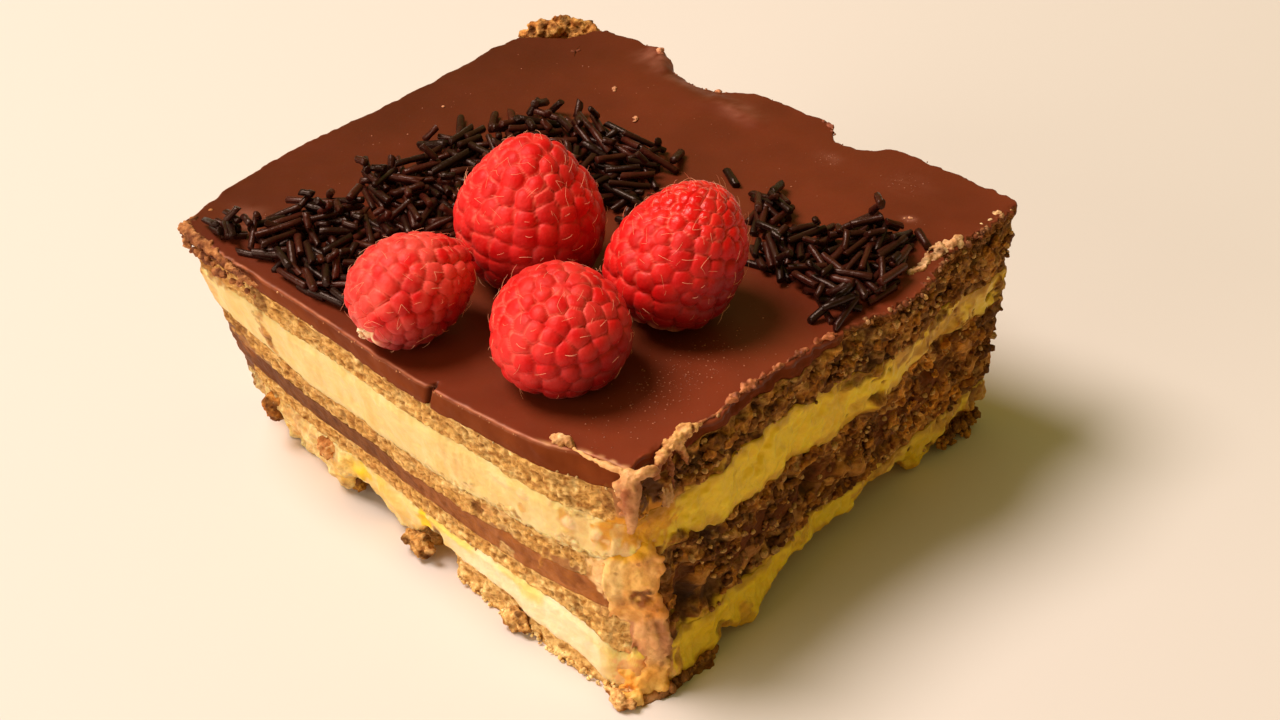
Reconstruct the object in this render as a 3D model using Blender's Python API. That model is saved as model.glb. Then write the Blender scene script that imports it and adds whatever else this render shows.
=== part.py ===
# Square slice of layered icebox cake: four biscuit layers, two custard
# layers, one chocolate cream layer and a chocolate glaze, with four whole
# raspberries on top.  Lengths in the tables are millimetres; the mesh is
# written in metres, +Z up, resting on z = 0, centred on its bounding box.
import math

import bpy
import numpy as np

for ob in list(bpy.data.objects):
    bpy.data.objects.remove(ob, do_unlink=True)

MM = 0.001
HEIGHT = 39.3          # underside to the top of the glaze
GAP = 0.3              # clearance between neighbouring pieces
COLUMNS = 80           # columns round each layer, 20 to a side
FINE = 1600            # samples of the outline before it is rounded
CORNER_ROUND = 1.1     # rounding of the cut corners
INSET_ROUND = 7.0      # rounding of the line that insets and bulges are square to

# Block corners, counter-clockwise from above: left front, near, right, back.
# The front face leans inwards at its left foot.
CORNERS_TOP = np.array([(-43.6, -40.6), (42.6, -41.2), (43.4, 43.0), (-43.4, 42.2)])
CORNERS_FOOT = np.array([(-44.0, -27.2), (44.2, -41.9), (40.6, 41.5), (-40.5, 39.5)])

# Outward bow of each side: (share of the side, millimetres)
BOW_TOP = [
    [(0, 0), (.12, .9), (.24, 1.8), (.40, 2.9), (.50, 3.9), (.61, 4.5), (.82, 3.9), (.86, 3.4), (.91, 1.5), (1, 0)],
    [(0, 0), (.06, -1.1), (.13, -.4), (.20, .7), (.27, -.3), (.39, .1), (.54, .8), (.60, 2.9), (.68, 3.1), (.74, 1.4), (.80, .3), (1, 0)],
    [(0, 0), (.12, .4), (.27, -.4), (.45, -.9), (.58, -1.3), (.75, -.9), (.88, -.9), (1, 0)],
    [(0, 0), (.14, -.6), (.22, .4), (.45, .6), (.60, 1.5), (.72, 2.3), (.84, 2.4), (.97, .2), (1, 0)],
]
BOW_FOOT = [
    [(0, 0), (.09, 1.0), (.26, 2.0), (.40, 1.2), (.60, 1.8), (.80, 1.5), (.92, .7), (1, 0)],
    [(0, 0), (.10, 1.0), (.20, 1.6), (.30, 1.2), (.38, .5), (.46, -1.0), (.55, -1.4), (.73, -1.3), (.92, 0), (1, 0)],
    [(0, 0), (.20, -.6), (.50, .8), (.80, .3), (1, 0)],
    [(0, 0), (.30, .8), (.70, 1.2), (1, 0)],
]
# Dents pressed into the back edge near the top: (place, half width, depth)
BACK_DENTS = [(2.667, .072, 3.3), (2.328, .048, 3.1)]
# The glaze is broken off across the back corner along this line
CHIP_FROM, CHIP_TO = 2.885, 3.159
CHIP_LINE = np.array([(-33.6, 41.6), (-35.0, 39.6), (-36.2, 36.0), (-38.6, 32.9), (-41.8, 30.6), (-43.0, 29.0)])

# Height of each seam where it shows, at -40, -20, 0, 20 and 40 along a side
STATIONS = [-40, -20, 0, 20, 40]
SEAMS_FRONT = {
    1: [2.5, 3.0, 3.5, 5.0, 3.6], 2: [10.0, 10.2, 10.0, 11.5, 10.6], 3: [12.8, 13.2, 14.2, 14.5, 14.5],
    4: [17.0, 17.0, 16.9, 18.3, 18.0], 5: [23.0, 21.0, 21.0, 22.5, 22.0], 6: [31.0, 30.8, 30.5, 30.6, 29.2],
    7: [36.0, 36.0, 35.0, 35.6, 34.8],
}
SEAMS_RIGHT = {
    1: [3.2, 3.2, 4.5, 4.4, 4.0], 2: [9.6, 8.8, 7.6, 7.6, 7.6], 3: [14.2, 13.5, 13.4, 13.4, 14.0],
    4: [18.0, 18.0, 17.5, 18.0, 18.5], 5: [23.0, 21.8, 20.8, 23.2, 23.5], 6: [29.2, 31.0, 30.5, 28.8, 28.4],
    7: [35.4, 35.8, 36.0, 36.5, 36.8],
}
SEAM_MEAN = {1: 3.6, 2: 9.6, 3: 13.8, 4: 17.8, 5: 22.2, 6: 30.2, 7: 35.8}

# Raspberries: centre x, y, widest radius, length, lean (axis), taper
BERRIES = {
    "raspberry_back": ((2.57, -16.70), 10.5, 21.6, (.032, .054, .998), 1.0),
    "raspberry_right": ((23.92, -10.85), 9.4, 19.6, (.058, .359, .931), .8),
    "raspberry_left": ((.43, -38.20), 7.6, 18.2, (.216, .954, .210), .5),
    "raspberry_front": ((22.03, -31.90), 9.7, 15.8, (.195, -.151, .969), .6),
}
BERRY_COLUMNS = 32     # two to a drupelet
BERRY_ROWS = 15


def smooth_step(x):
    x = np.clip(x, 0.0, 1.0)
    return x * x * (3 - 2 * x)


def around(u, centre):
    """distance from a place on the outline, in sides"""
    return np.abs((u - centre + 2.0) % 4.0 - 2.0)


def rounded(points, width):
    """circular Gaussian rounding of a closed line of evenly spaced points"""
    n = len(points)
    step = np.linalg.norm(np.roll(points, -1, 0) - points, axis=1).mean()
    k = np.minimum(np.arange(n), n - np.arange(n)) * step
    kernel = np.exp(-.5 * (k / width) ** 2)
    kernel /= kernel.sum()
    spec = np.fft.fft(kernel)[:, None] * np.fft.fft(points, axis=0)
    return np.fft.ifft(spec, axis=0).real


def closed_line(corners, bows, chip=False, width=CORNER_ROUND):
    u = np.arange(FINE) * 4.0 / FINE
    side = u.astype(int)
    s = u - side
    a = corners[side]
    b = corners[(side + 1) % 4]
    d = b - a
    normal = np.stack([d[:, 1], -d[:, 0]], 1) / np.linalg.norm(d, axis=1)[:, None]
    bow = np.zeros(FINE)
    for k in range(4):
        m = side == k
        bow[m] = np.interp(s[m], [p[0] for p in bows[k]], [p[1] for p in bows[k]])
    line = a + d * s[:, None] + normal * bow[:, None]
    if chip:
        m = (u > CHIP_FROM) & (u < CHIP_TO)
        w = (u[m] - CHIP_FROM) / (CHIP_TO - CHIP_FROM) * (len(CHIP_LINE) - 1)
        line[m] = np.stack([np.interp(w, range(len(CHIP_LINE)), CHIP_LINE[:, c]) for c in (0, 1)], 1)
    return rounded(line, width)


TOP_LINE = closed_line(CORNERS_TOP, BOW_TOP)
GLAZE_LINE = closed_line(CORNERS_TOP, BOW_TOP, chip=True)
FOOT_LINE = closed_line(CORNERS_FOOT, BOW_FOOT)
TOP_WIDE = closed_line(CORNERS_TOP, BOW_TOP, width=INSET_ROUND)
FOOT_WIDE = closed_line(CORNERS_FOOT, BOW_FOOT, width=INSET_ROUND)

RNG = np.random.default_rng(21)
WAVES = [(f, RNG.uniform(0, 2 * math.pi), RNG.uniform(-.35, .35), RNG.uniform(.5, 1.0) / (1 + f / 22))
         for f in (3, 5, 8, 13, 19, 27, 34)]


def ripple(u, z, shift=0.0):
    """even, repeatable unevenness of the cut face, about -1 to 1"""
    total = np.zeros_like(u)
    for f, phase, climb, size in WAVES:
        total = total + size * np.sin(2 * math.pi * f * u / 4 + phase * (1 + shift) + climb * z)
    return total / 2.2


def sample(line, u):
    g = np.arange(FINE) * 4.0 / FINE
    return np.stack([np.interp(u % 4.0, g, line[:, c], period=4.0) for c in (0, 1)], 1)


def face(u, z, offset=0.0, glaze=False, uneven=0.22):
    """points of the cut face at height z, moved outwards by offset"""
    z = np.broadcast_to(np.asarray(z, float), u.shape)
    offset = np.broadcast_to(np.asarray(offset, float), u.shape)
    t = np.clip(z / HEIGHT, 0, 1)[:, None]
    top = GLAZE_LINE if glaze else TOP_LINE

    p = sample(FOOT_LINE, u) * (1 - t) + sample(top, u) * t

    def wide(v):
        return sample(FOOT_WIDE, v) * (1 - t) + sample(TOP_WIDE, v) * t
    d = wide(u + .01) - wide(u - .01)
    normal = np.stack([d[:, 1], -d[:, 0]], 1)
    normal /= np.linalg.norm(normal, axis=1)[:, None]
    push = offset + uneven * ripple(u, z)
    for place, half, depth in BACK_DENTS:
        push = push - depth * np.exp(-(around(u, place) / half) ** 4) * smooth_step((t[:, 0] - .70) / .2)
    return p + normal * push[:, None]


def seam(k, x, y):
    """height of seam k above the base at a point of the plan"""
    if k == 0:
        return np.zeros_like(x)
    front = np.interp(x, STATIONS, SEAMS_FRONT[k])
    right = np.interp(y, STATIONS, SEAMS_RIGHT[k])
    mean = SEAM_MEAN[k]
    left = SEAMS_FRONT[k][0] + (mean - SEAMS_FRONT[k][0]) * (y + 40) / 80 + .25 * np.sin(y / 9.0 + k)
    back = SEAMS_RIGHT[k][4] + (mean - SEAMS_RIGHT[k][4]) * (40 - x) / 80 + .25 * np.sin(x / 8.0 + 2 * k)
    z = 0.0
    total = 0.0
    for value, distance in ((front, y + 42), (right, 42 - x), (back, 42 - y), (left, x + 42)):
        w = 1.0 / np.maximum(distance, 1.5) ** 2
        z = z + w * value
        total = total + w
    return z / total


def with_z(p, z):
    return np.column_stack([p, np.broadcast_to(z, len(p))])


def seam_ring(k, u, offset=0.0, glaze=False, lift=0.0):
    """ring of a seam on the cut face, raised or lowered by lift"""
    z = np.full_like(u, SEAM_MEAN.get(k, 0.0))
    for _ in range(3):
        p = face(u, z, offset, glaze)
        z = seam(k, p[:, 0], p[:, 1])
    return with_z(p, z + lift)


class Shell:
    """one closed skin built from rings, lowest first"""

    def __init__(self):
        self.points = []
        self.faces = []

    def add(self, ring):
        start = sum(len(p) for p in self.points)
        self.points.append(np.asarray(ring, float))
        return list(range(start, start + len(ring)))

    def strip(self, low, high):
        n = len(low)
        for i in range(n):
            j = (i + 1) % n
            self.faces.append((low[i], low[j], high[j], high[i]))

    def shrink(self, outer, inner, up):
        """join a ring to one with a share of its points, facing up or down"""
        n, m = len(outer), len(inner)
        r = n // m
        for i in range(m):
            j = (i + 1) % m
            run = [outer[(i * r + q) % n] for q in range(r + 1)]
            half = r // 2
            tris = [(run[q], run[q + 1], inner[i]) for q in range(half)]
            tris += [(run[half], inner[j], inner[i])]
            tris += [(run[q], run[q + 1], inner[j]) for q in range(half, r)]
            self.faces += tris if up else [t[::-1] for t in tris]

    def fan(self, ring, centre, up):
        n = len(ring)
        for i in range(n):
            t = (ring[i], ring[(i + 1) % n], centre)
            self.faces.append(t if up else t[::-1])

    def arrays(self):
        return np.vstack(self.points), self.faces


U = np.arange(COLUMNS) * 4.0 / COLUMNS
PIECES = {}


def plan_of(ring, share, keep):
    """plan points of an inner ring: every so many points, drawn to the middle"""
    p = ring[::keep, :2]
    return p * share


def cap(shell, outer_ids, outer_xy, k, lift, up, share=.55, keep=4):
    """close a layer with the surface of seam k"""
    xy = plan_of(outer_xy, share, keep)
    inner = shell.add(with_z(xy, seam(k, xy[:, 0], xy[:, 1]) + lift))
    shell.shrink(outer_ids, inner, up)
    mid = shell.add(np.array([[0.0, 0.0, float(seam(k, np.zeros(1), np.zeros(1))[0]) + lift]]))
    shell.fan(inner, mid[0], up)


def mid_ring(k, share, offset, glaze=False):
    """ring between seams k and k + 1, share of the way up"""
    low = seam_ring(k, U)
    high = seam_ring(k + 1, U, glaze=glaze)
    z = low[:, 2] * (1 - share) + high[:, 2] * share
    return with_z(face(U, z, offset, glaze), z)


def mask(place, half, sharp=4):
    return np.exp(-(around(U, place) / half) ** sharp)


chip_mask = smooth_step((U - 2.862) / .035) * smooth_step((3.182 - U) / .035)
right_face = smooth_step((U - 1.02) / .06) * smooth_step((2.0 - U) / .04)
pit = mask(1.455, .045, 2)
half_gap = GAP / 2

# --- bottom biscuit: broken back under the front left and in the shade on the right
recess = np.full(COLUMNS, 1.6)
recess += 5.6 * smooth_step((.41 - U) / .05) + 5.6 * smooth_step((U - 3.9) / .06)
recess += 4.6 * mask(.535, .035)
recess += 3.4 * smooth_step((U - 1.20) / .06) * smooth_step((1.92 - U) / .06)
recess += .25 * (1 + ripple(U, 0 * U, .5))
pile = 3.9 * smooth_step((U - .98) / .04) * smooth_step((1.20 - U) / .05)
drape = .97 * smooth_step((.40 - U) / .035) * (1 - .45 * mask(.345, .02)) + .97 * smooth_step((U - 3.93) / .05)
drape += .85 * mask(1.752, .030)
low_z = 4.0

base_top = with_z(face(U, low_z, -recess), 0.0)
base_top[:, 2] = seam(1, base_top[:, 0], base_top[:, 1]) - half_gap
s = Shell()
flare = .12 * recess * (1 - np.minimum(1, drape * 4))
foot = face(U, low_z, -recess + flare + pile)
r0 = s.add(with_z(foot, 0.0))
middle = face(U, low_z, -recess + flare + pile * .5 - .2 + .2 * ripple(U, 3 + 0 * U, .8))
r1 = s.add(with_z(middle, base_top[:, 2] * .45))
r2 = s.add(base_top)
s.strip(r0, r1)
s.strip(r1, r2)
cap(s, r2, base_top, 1, -half_gap, True)
cap(s, r0, with_z(foot, 0.0), 0, 0.0, False)
PIECES["biscuit_base"] = s

# --- lower custard: sits on the bottom biscuit and sags past its broken edge
s = Shell()
edge = seam_ring(1, U)
rim_z = (edge[:, 2] + half_gap) * (1 - drape)
rim_z = np.where(drape > .9, 0.0, rim_z)
outer = with_z(face(U, np.maximum(rim_z, 0), 0.0), rim_z)
r0 = s.add(outer)
near = with_z(face(U, low_z, -(recess - .75)), rim_z)
r1 = s.add(near)
step = with_z(face(U, low_z, -(recess - .35)), 0.0)
step[:, 2] = seam(1, step[:, 0], step[:, 1]) + half_gap
r2 = s.add(step)
top = seam_ring(2, U, lift=-half_gap)
rings = [r0]
for share, bulge in ((.30, .55), (.70, .75)):
    z = rim_z * (1 - share) + top[:, 2] * share
    rings.append(s.add(with_z(face(U, z, bulge * (1 - .6 * right_face)), z)))
rings.append(s.add(top))
for a, b in zip(rings, rings[1:]):
    s.strip(a, b)
s.strip(r1, r0)
s.strip(r2, r1)
cap(s, rings[-1], top, 2, -half_gap, True)
cap(s, r2, step, 1, half_gap, False)
PIECES["custard_lower"] = s


def plain_layer(name, k, middles):
    s = Shell()
    low = seam_ring(k, U, lift=half_gap)
    high = seam_ring(k + 1, U, lift=-half_gap)
    rings = [s.add(low)]
    for share, offset in middles:
        rings.append(s.add(mid_ring(k, share, offset)))
    rings.append(s.add(high))
    for a, b in zip(rings, rings[1:]):
        s.strip(a, b)
    cap(s, rings[-1], high, k + 1, -half_gap, True)
    cap(s, rings[0], low, k, half_gap, False)
    PIECES[name] = s


rough = ripple(U, 11 + 0 * U, .3)
plain_layer("biscuit_lower", 2, [(.5, -.45 + .4 * rough - 1.6 * pit)])
rough = ripple(U, 17 + 0 * U, .6)
plain_layer("chocolate_cream", 3, [(.5, .05 + .25 * rough - 2.6 * pit)])
rough = ripple(U, 23 + 0 * U, .9)
plain_layer("biscuit_middle", 4, [(.5, -.5 + .45 * rough - .5 * right_face * rough)])
plain_layer("custard_upper", 5, [(.28, .55 - .4 * right_face), (.72, .70 - .5 * right_face)])

# --- top biscuit: a broken lump stands up where the glaze is missing
s = Shell()
low = seam_ring(6, U, lift=half_gap)
r0 = s.add(low)
r1 = s.add(mid_ring(6, .5, -.4 + .4 * ripple(U, 29 + 0 * U, .2)))
edge = seam_ring(7, U, offset=.30 + .9 * chip_mask)
edge[:, 2] += -.55 + 2.4 * chip_mask
r2 = s.add(edge)
crest = seam_ring(7, U, offset=.15 + .42 * chip_mask, glaze=True)
crest[:, 2] += -.22 + 3.4 * chip_mask
r3 = s.add(crest)
inner = seam_ring(7, U, offset=.38 * chip_mask, glaze=True, lift=-half_gap)
r4 = s.add(inner)
for a, b in ((r0, r1), (r1, r2), (r2, r3), (r3, r4)):
    s.strip(a, b)
cap(s, r4, inner, 7, -half_gap, True)
cap(s, r0, low, 6, half_gap, False)
PIECES["biscuit_top"] = s

# --- chocolate glaze: flat, with a rounded rim and a pressed hollow by the back dent
s = Shell()
low = seam_ring(7, U, glaze=True, lift=half_gap)
r0 = s.add(low)
z = low[:, 2] * .5 + HEIGHT * .5
r1 = s.add(with_z(face(U, z, .12 * (1 - chip_mask), True), z))
press = 1.3 * mask(2.667, .10) + .7 * mask(2.328, .06)
rim = with_z(face(U, HEIGHT - .5, 0, True), HEIGHT - .45 - press)
r2 = s.add(rim)
shoulder = with_z(face(U, HEIGHT - .1, -.8, True), HEIGHT - .06 - press * .85)
r3 = s.add(shoulder)
half = U[::2]
flat_xy = face(half, np.full_like(half, HEIGHT), -6.0, True)
flat = with_z(flat_xy, HEIGHT - .30 * press[::2])
r4 = s.add(flat)
for a, b in ((r0, r1), (r1, r2), (r2, r3)):
    s.strip(a, b)
s.shrink(r3, r4, True)
r5 = s.add(with_z(flat[::2, :2] * .5, HEIGHT))
s.shrink(r4, r5, True)
mid = s.add(np.array([[0.0, 0.0, HEIGHT]]))
s.fan(r5, mid[0], True)
cap(s, r0, low, 7, half_gap, False)
PIECES["chocolate_glaze"] = s


def berry(name, place, radius, length, axis, taper):
    """hollow-based raspberry: rows of raised drupelets, each row set half a place on"""
    s = Shell()
    axis = np.array(axis) / np.linalg.norm(axis)
    side = np.cross(axis, [0, 0, 1.0]) if abs(axis[2]) < .95 else np.cross(axis, [1.0, 0, 0])
    side /= np.linalg.norm(side)
    other = np.cross(axis, side)
    turn = np.arange(BERRY_COLUMNS) * 2 * math.pi / BERRY_COLUMNS
    widest = (math.sin(1.40) ** .85) * (1 + .16 * taper * math.cos(1.40))

    def outline(angle):
        r = math.sin(angle) ** .85 * (1 + .16 * taper * math.cos(angle)) / widest
        return radius * r, length * (-.5 * math.cos(angle))

    def ring(r, h):
        r = np.broadcast_to(r, turn.shape)
        h = np.broadcast_to(h, turn.shape)
        return (np.outer(r * np.cos(turn), side) + np.outer(r * np.sin(turn), other) + np.outer(h, axis))

    angles = np.linspace(.60, 2.93, BERRY_ROWS)
    rows = []
    for i, angle in enumerate(angles):
        r, h = outline(angle)
        r2, h2 = outline(angle + .02)
        n = np.array([h2 - h, -(r2 - r)])
        n /= np.linalg.norm(n)
        wide = 2 * math.pi * r / (BERRY_COLUMNS / 2)
        up = np.where((np.arange(BERRY_COLUMNS) + i) % 2 == 0, 1.0, -.7) * min(.38, .11 * wide)
        rows.append(s.add(ring(r + n[0] * up, h + n[1] * up)))
    for i in range(len(rows) - 1):
        low, high = rows[i], rows[i + 1]
        for j in range(BERRY_COLUMNS):
            k = (j + 1) % BERRY_COLUMNS
            if (i + j) % 2 == 0:
                s.faces += [(low[j], low[k], high[j]), (low[k], high[k], high[j])]
            else:
                s.faces += [(low[j], low[k], high[k]), (low[j], high[k], high[j])]
    tip = s.add(np.array([axis * length * .5 * 1.0]))
    s.fan(rows[-1], tip[0], True)
    r, h = outline(.60)
    lip = s.add(ring(r * .62, -length * .5 + .25))
    s.strip(lip, rows[0])
    hollow = s.add(ring(r * .45, -length * .5 + 2.6)[::2])
    s.shrink(lip, hollow, False)
    floor = s.add(np.array([axis * (-length * .5 + 3.4)]))
    s.fan(hollow, floor[0], False)
    points = np.vstack(s.points)
    lift = HEIGHT + GAP - points[:, 2].min() - .25
    points[:, 2] = np.maximum(points[:, 2] + lift, HEIGHT + GAP)
    points[:, 0] += place[0]
    points[:, 1] += place[1]
    s.points = [points]
    PIECES[name] = s


for name, spec in BERRIES.items():
    berry(name, *spec)

everything = np.vstack([p.arrays()[0] for p in PIECES.values()])
MIDDLE = (everything.min(0) + everything.max(0)) / 2

# base colour, roughness
MATERIALS = {
    "biscuit": ((.42, .24, .085), .85),
    "custard": ((.84, .55, .17), .45),
    "chocolate_cream": ((.13, .045, .022), .5),
    "glaze": ((.10, .024, .010), .35),
    "raspberry": ((.72, .02, .025), .4),
}
SLOT_OF = {
    "biscuit_base": "biscuit", "biscuit_lower": "biscuit", "biscuit_middle": "biscuit", "biscuit_top": "biscuit",
    "custard_lower": "custard", "custard_upper": "custard", "chocolate_cream": "chocolate_cream",
    "chocolate_glaze": "glaze", "raspberry_back": "raspberry", "raspberry_right": "raspberry",
    "raspberry_left": "raspberry", "raspberry_front": "raspberry",
}

for name, shell in PIECES.items():
    points, faces = shell.arrays()
    points = (points - [MIDDLE[0], MIDDLE[1], 0.0]) * MM
    mesh = bpy.data.meshes.new(name)
    mesh.from_pydata([tuple(p) for p in points], [], faces)
    mesh.update()
    mesh.polygons.foreach_set("use_smooth", [True] * len(mesh.polygons))
    mesh.set_sharp_from_angle(angle=math.radians(38))
    colour, rough_value = MATERIALS[SLOT_OF[name]]
    material = bpy.data.materials.new(name)
    material.use_nodes = True
    shader = material.node_tree.nodes["Principled BSDF"]
    shader.inputs["Base Color"].default_value = (*colour, 1)
    shader.inputs["Roughness"].default_value = rough_value
    mesh.materials.append(material)
    bpy.context.collection.objects.link(bpy.data.objects.new(name, mesh))

print("middle", np.round(MIDDLE[:2], 4), "size", np.round(everything.max(0) - everything.min(0), 3),
      "triangles", sum(sum(len(f) - 2 for f in p.faces) for p in PIECES.values()))
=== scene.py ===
# Square slice of layered icebox cake with whole raspberries.  Lengths in the
# tables are millimetres in the slice's own plan; place() turns them to metres.
import itertools
import math

import bmesh
import bpy
import numpy as np
from mathutils import Matrix, Vector


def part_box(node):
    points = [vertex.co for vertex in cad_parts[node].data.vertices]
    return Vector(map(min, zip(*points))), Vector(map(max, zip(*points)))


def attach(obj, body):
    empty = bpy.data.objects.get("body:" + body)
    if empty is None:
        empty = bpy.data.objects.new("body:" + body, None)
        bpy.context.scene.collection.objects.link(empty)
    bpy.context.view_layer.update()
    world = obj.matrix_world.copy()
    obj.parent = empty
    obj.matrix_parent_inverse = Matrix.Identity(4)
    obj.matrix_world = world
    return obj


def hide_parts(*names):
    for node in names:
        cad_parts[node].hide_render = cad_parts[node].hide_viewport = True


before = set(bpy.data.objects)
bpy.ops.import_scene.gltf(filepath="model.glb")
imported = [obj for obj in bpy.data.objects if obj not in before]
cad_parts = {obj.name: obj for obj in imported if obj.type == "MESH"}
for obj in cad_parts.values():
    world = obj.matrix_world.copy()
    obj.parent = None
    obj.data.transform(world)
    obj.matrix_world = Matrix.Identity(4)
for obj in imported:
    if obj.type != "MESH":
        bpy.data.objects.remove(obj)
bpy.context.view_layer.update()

HEIGHT = 39.3
MIDDLE = np.array([0.4558, -2.0732, 0.0])     # middle of the plan, from part.py
PIECES = []

# ------------------------------------------------------------------ noise


def lattice(ix, iy, iz, seed):
    with np.errstate(over="ignore"):
        h = (ix.astype(np.uint32) * np.uint32(0x8DA6B343)) ^ (iy.astype(np.uint32) * np.uint32(0xD8163841))
        h ^= iz.astype(np.uint32) * np.uint32(0xCB1AB31F)
        h ^= np.uint32((seed * 0x9E3779B1) & 0xFFFFFFFF)
        h ^= h >> np.uint32(15)
        h *= np.uint32(0x85EBCA6B)
        h ^= h >> np.uint32(13)
        h *= np.uint32(0xC2B2AE35)
        h ^= h >> np.uint32(16)
    return h.astype(np.float64) / 4294967296.0


def noise(p, size, seed=0):
    """smooth value noise, -1 to 1, with features of about size millimetres"""
    q = np.asarray(p, float).reshape(-1, 3) / size
    i = np.floor(q).astype(np.int64)
    f = q - i
    f = f * f * f * (f * (f * 6 - 15) + 10)
    total = np.zeros(len(q))
    for dx, dy, dz in itertools.product((0, 1), repeat=3):
        w = (f[:, 0] if dx else 1 - f[:, 0]) * (f[:, 1] if dy else 1 - f[:, 1]) * (f[:, 2] if dz else 1 - f[:, 2])
        total += w * lattice(i[:, 0] + dx, i[:, 1] + dy, i[:, 2] + dz, seed)
    return (total * 2 - 1).reshape(np.shape(p)[:-1])


def fbm(p, size, octaves=3, seed=0, gain=.5):
    total = 0.0
    weight = 1.0
    full = 0.0
    for k in range(octaves):
        total = total + weight * noise(p, size / 2.03 ** k, seed + 17 * k)
        full += weight
        weight *= gain
    return total / full * 1.5


def cells(p, size, seed=0):
    """distance to the nearest and next nearest of scattered points, in cells"""
    shape = np.shape(p)[:-1]
    q = np.asarray(p, float).reshape(-1, 3) / size
    base = np.floor(q).astype(np.int64)
    f1 = np.full(len(q), 9.0)
    f2 = np.full(len(q), 9.0)
    who = np.zeros(len(q))
    for d in itertools.product((-1, 0, 1), repeat=3):
        c = base + np.array(d)
        j = np.stack([lattice(c[:, 0], c[:, 1], c[:, 2], seed + k) for k in range(3)], 1)
        dist = np.linalg.norm(c + j - q, axis=1)
        closer = dist < f1
        f2 = np.where(closer, f1, np.minimum(f2, dist))
        who = np.where(closer, j[:, 0], who)
        f1 = np.where(closer, dist, f1)
    return f1.reshape(shape), f2.reshape(shape), who.reshape(shape)


def smooth_step(x):
    x = np.clip(x, 0.0, 1.0)
    return x * x * (3 - 2 * x)


def lerp(a, b, w):
    w = np.asarray(w)[..., None]
    return np.asarray(a, float) * (1 - w) + np.asarray(b, float) * w


def colour(r, g, b):
    """linear colour from the 0 to 255 value that a picture shows"""
    c = np.array([r, g, b], float) / 255
    return np.where(c <= .04045, c / 12.92, ((c + .055) / 1.055) ** 2.4)


# ------------------------------------------------------------------ outline, as in part.py
CORNERS_TOP = np.array([(-43.6, -40.6), (42.6, -41.2), (43.4, 43.0), (-43.4, 42.2)])
CORNERS_FOOT = np.array([(-44.0, -27.2), (44.2, -41.9), (40.6, 41.5), (-40.5, 39.5)])
BOW_TOP = [
    [(0, 0), (.12, .9), (.24, 1.8), (.40, 2.9), (.50, 3.9), (.61, 4.5), (.82, 3.9), (.86, 3.4), (.91, 1.5), (1, 0)],
    [(0, 0), (.06, -1.1), (.13, -.4), (.20, .7), (.27, -.3), (.39, .1), (.54, .8), (.60, 2.9), (.68, 3.1), (.74, 1.4), (.80, .3), (1, 0)],
    [(0, 0), (.12, .4), (.27, -.4), (.45, -.9), (.58, -1.3), (.75, -.9), (.88, -.9), (1, 0)],
    [(0, 0), (.14, -.6), (.22, .4), (.45, .6), (.60, 1.5), (.72, 2.3), (.84, 2.4), (.97, .2), (1, 0)],
]
BOW_FOOT = [
    [(0, 0), (.09, 1.0), (.26, 2.0), (.40, 1.2), (.60, 1.8), (.80, 1.5), (.92, .7), (1, 0)],
    [(0, 0), (.10, 1.0), (.20, 1.6), (.30, 1.2), (.38, .5), (.46, -1.0), (.55, -1.4), (.73, -1.3), (.92, 0), (1, 0)],
    [(0, 0), (.20, -.6), (.50, .8), (.80, .3), (1, 0)],
    [(0, 0), (.30, .8), (.70, 1.2), (1, 0)],
]
BACK_DENTS = [(2.667, .072, 3.3), (2.328, .048, 3.1)]
CHIP_FROM, CHIP_TO = 2.885, 3.159
CHIP_LINE = np.array([(-33.6, 41.6), (-35.0, 39.6), (-36.2, 36.0), (-38.6, 32.9), (-41.8, 30.6), (-43.0, 29.0)])
STATIONS = [-40, -20, 0, 20, 40]
SEAMS_FRONT = {
    1: [2.5, 3.0, 3.5, 5.0, 3.6], 2: [9.6, 9.4, 9.1, 10.6, 10.3], 3: [12.8, 13.0, 13.1, 13.6, 14.3],
    4: [17.0, 16.8, 16.4, 17.9, 18.0], 5: [23.0, 20.8, 20.6, 22.0, 22.2], 6: [31.0, 30.8, 30.6, 30.6, 29.0],
    7: [36.0, 36.0, 34.9, 35.2, 34.6],
}
SEAMS_RIGHT = {
    1: [3.2, 3.2, 4.5, 4.4, 4.0], 2: [7.6, 8.2, 7.6, 7.6, 7.6], 3: [14.2, 13.5, 13.4, 13.4, 14.0],
    4: [18.0, 18.0, 17.5, 18.0, 18.5], 5: [23.0, 21.8, 20.8, 23.2, 23.5], 6: [29.2, 31.0, 30.5, 28.8, 28.4],
    7: [35.4, 35.8, 36.0, 36.5, 36.8],
}
SEAM_MEAN = {1: 3.6, 2: 9.6, 3: 13.8, 4: 17.8, 5: 22.2, 6: 30.2, 7: 35.8}
FINE = 1600


def rounded(points, width):
    n = len(points)
    step = np.linalg.norm(np.roll(points, -1, 0) - points, axis=1).mean()
    k = np.minimum(np.arange(n), n - np.arange(n)) * step
    kernel = np.exp(-.5 * (k / width) ** 2)
    kernel /= kernel.sum()
    return np.fft.ifft(np.fft.fft(kernel)[:, None] * np.fft.fft(points, axis=0), axis=0).real


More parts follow.
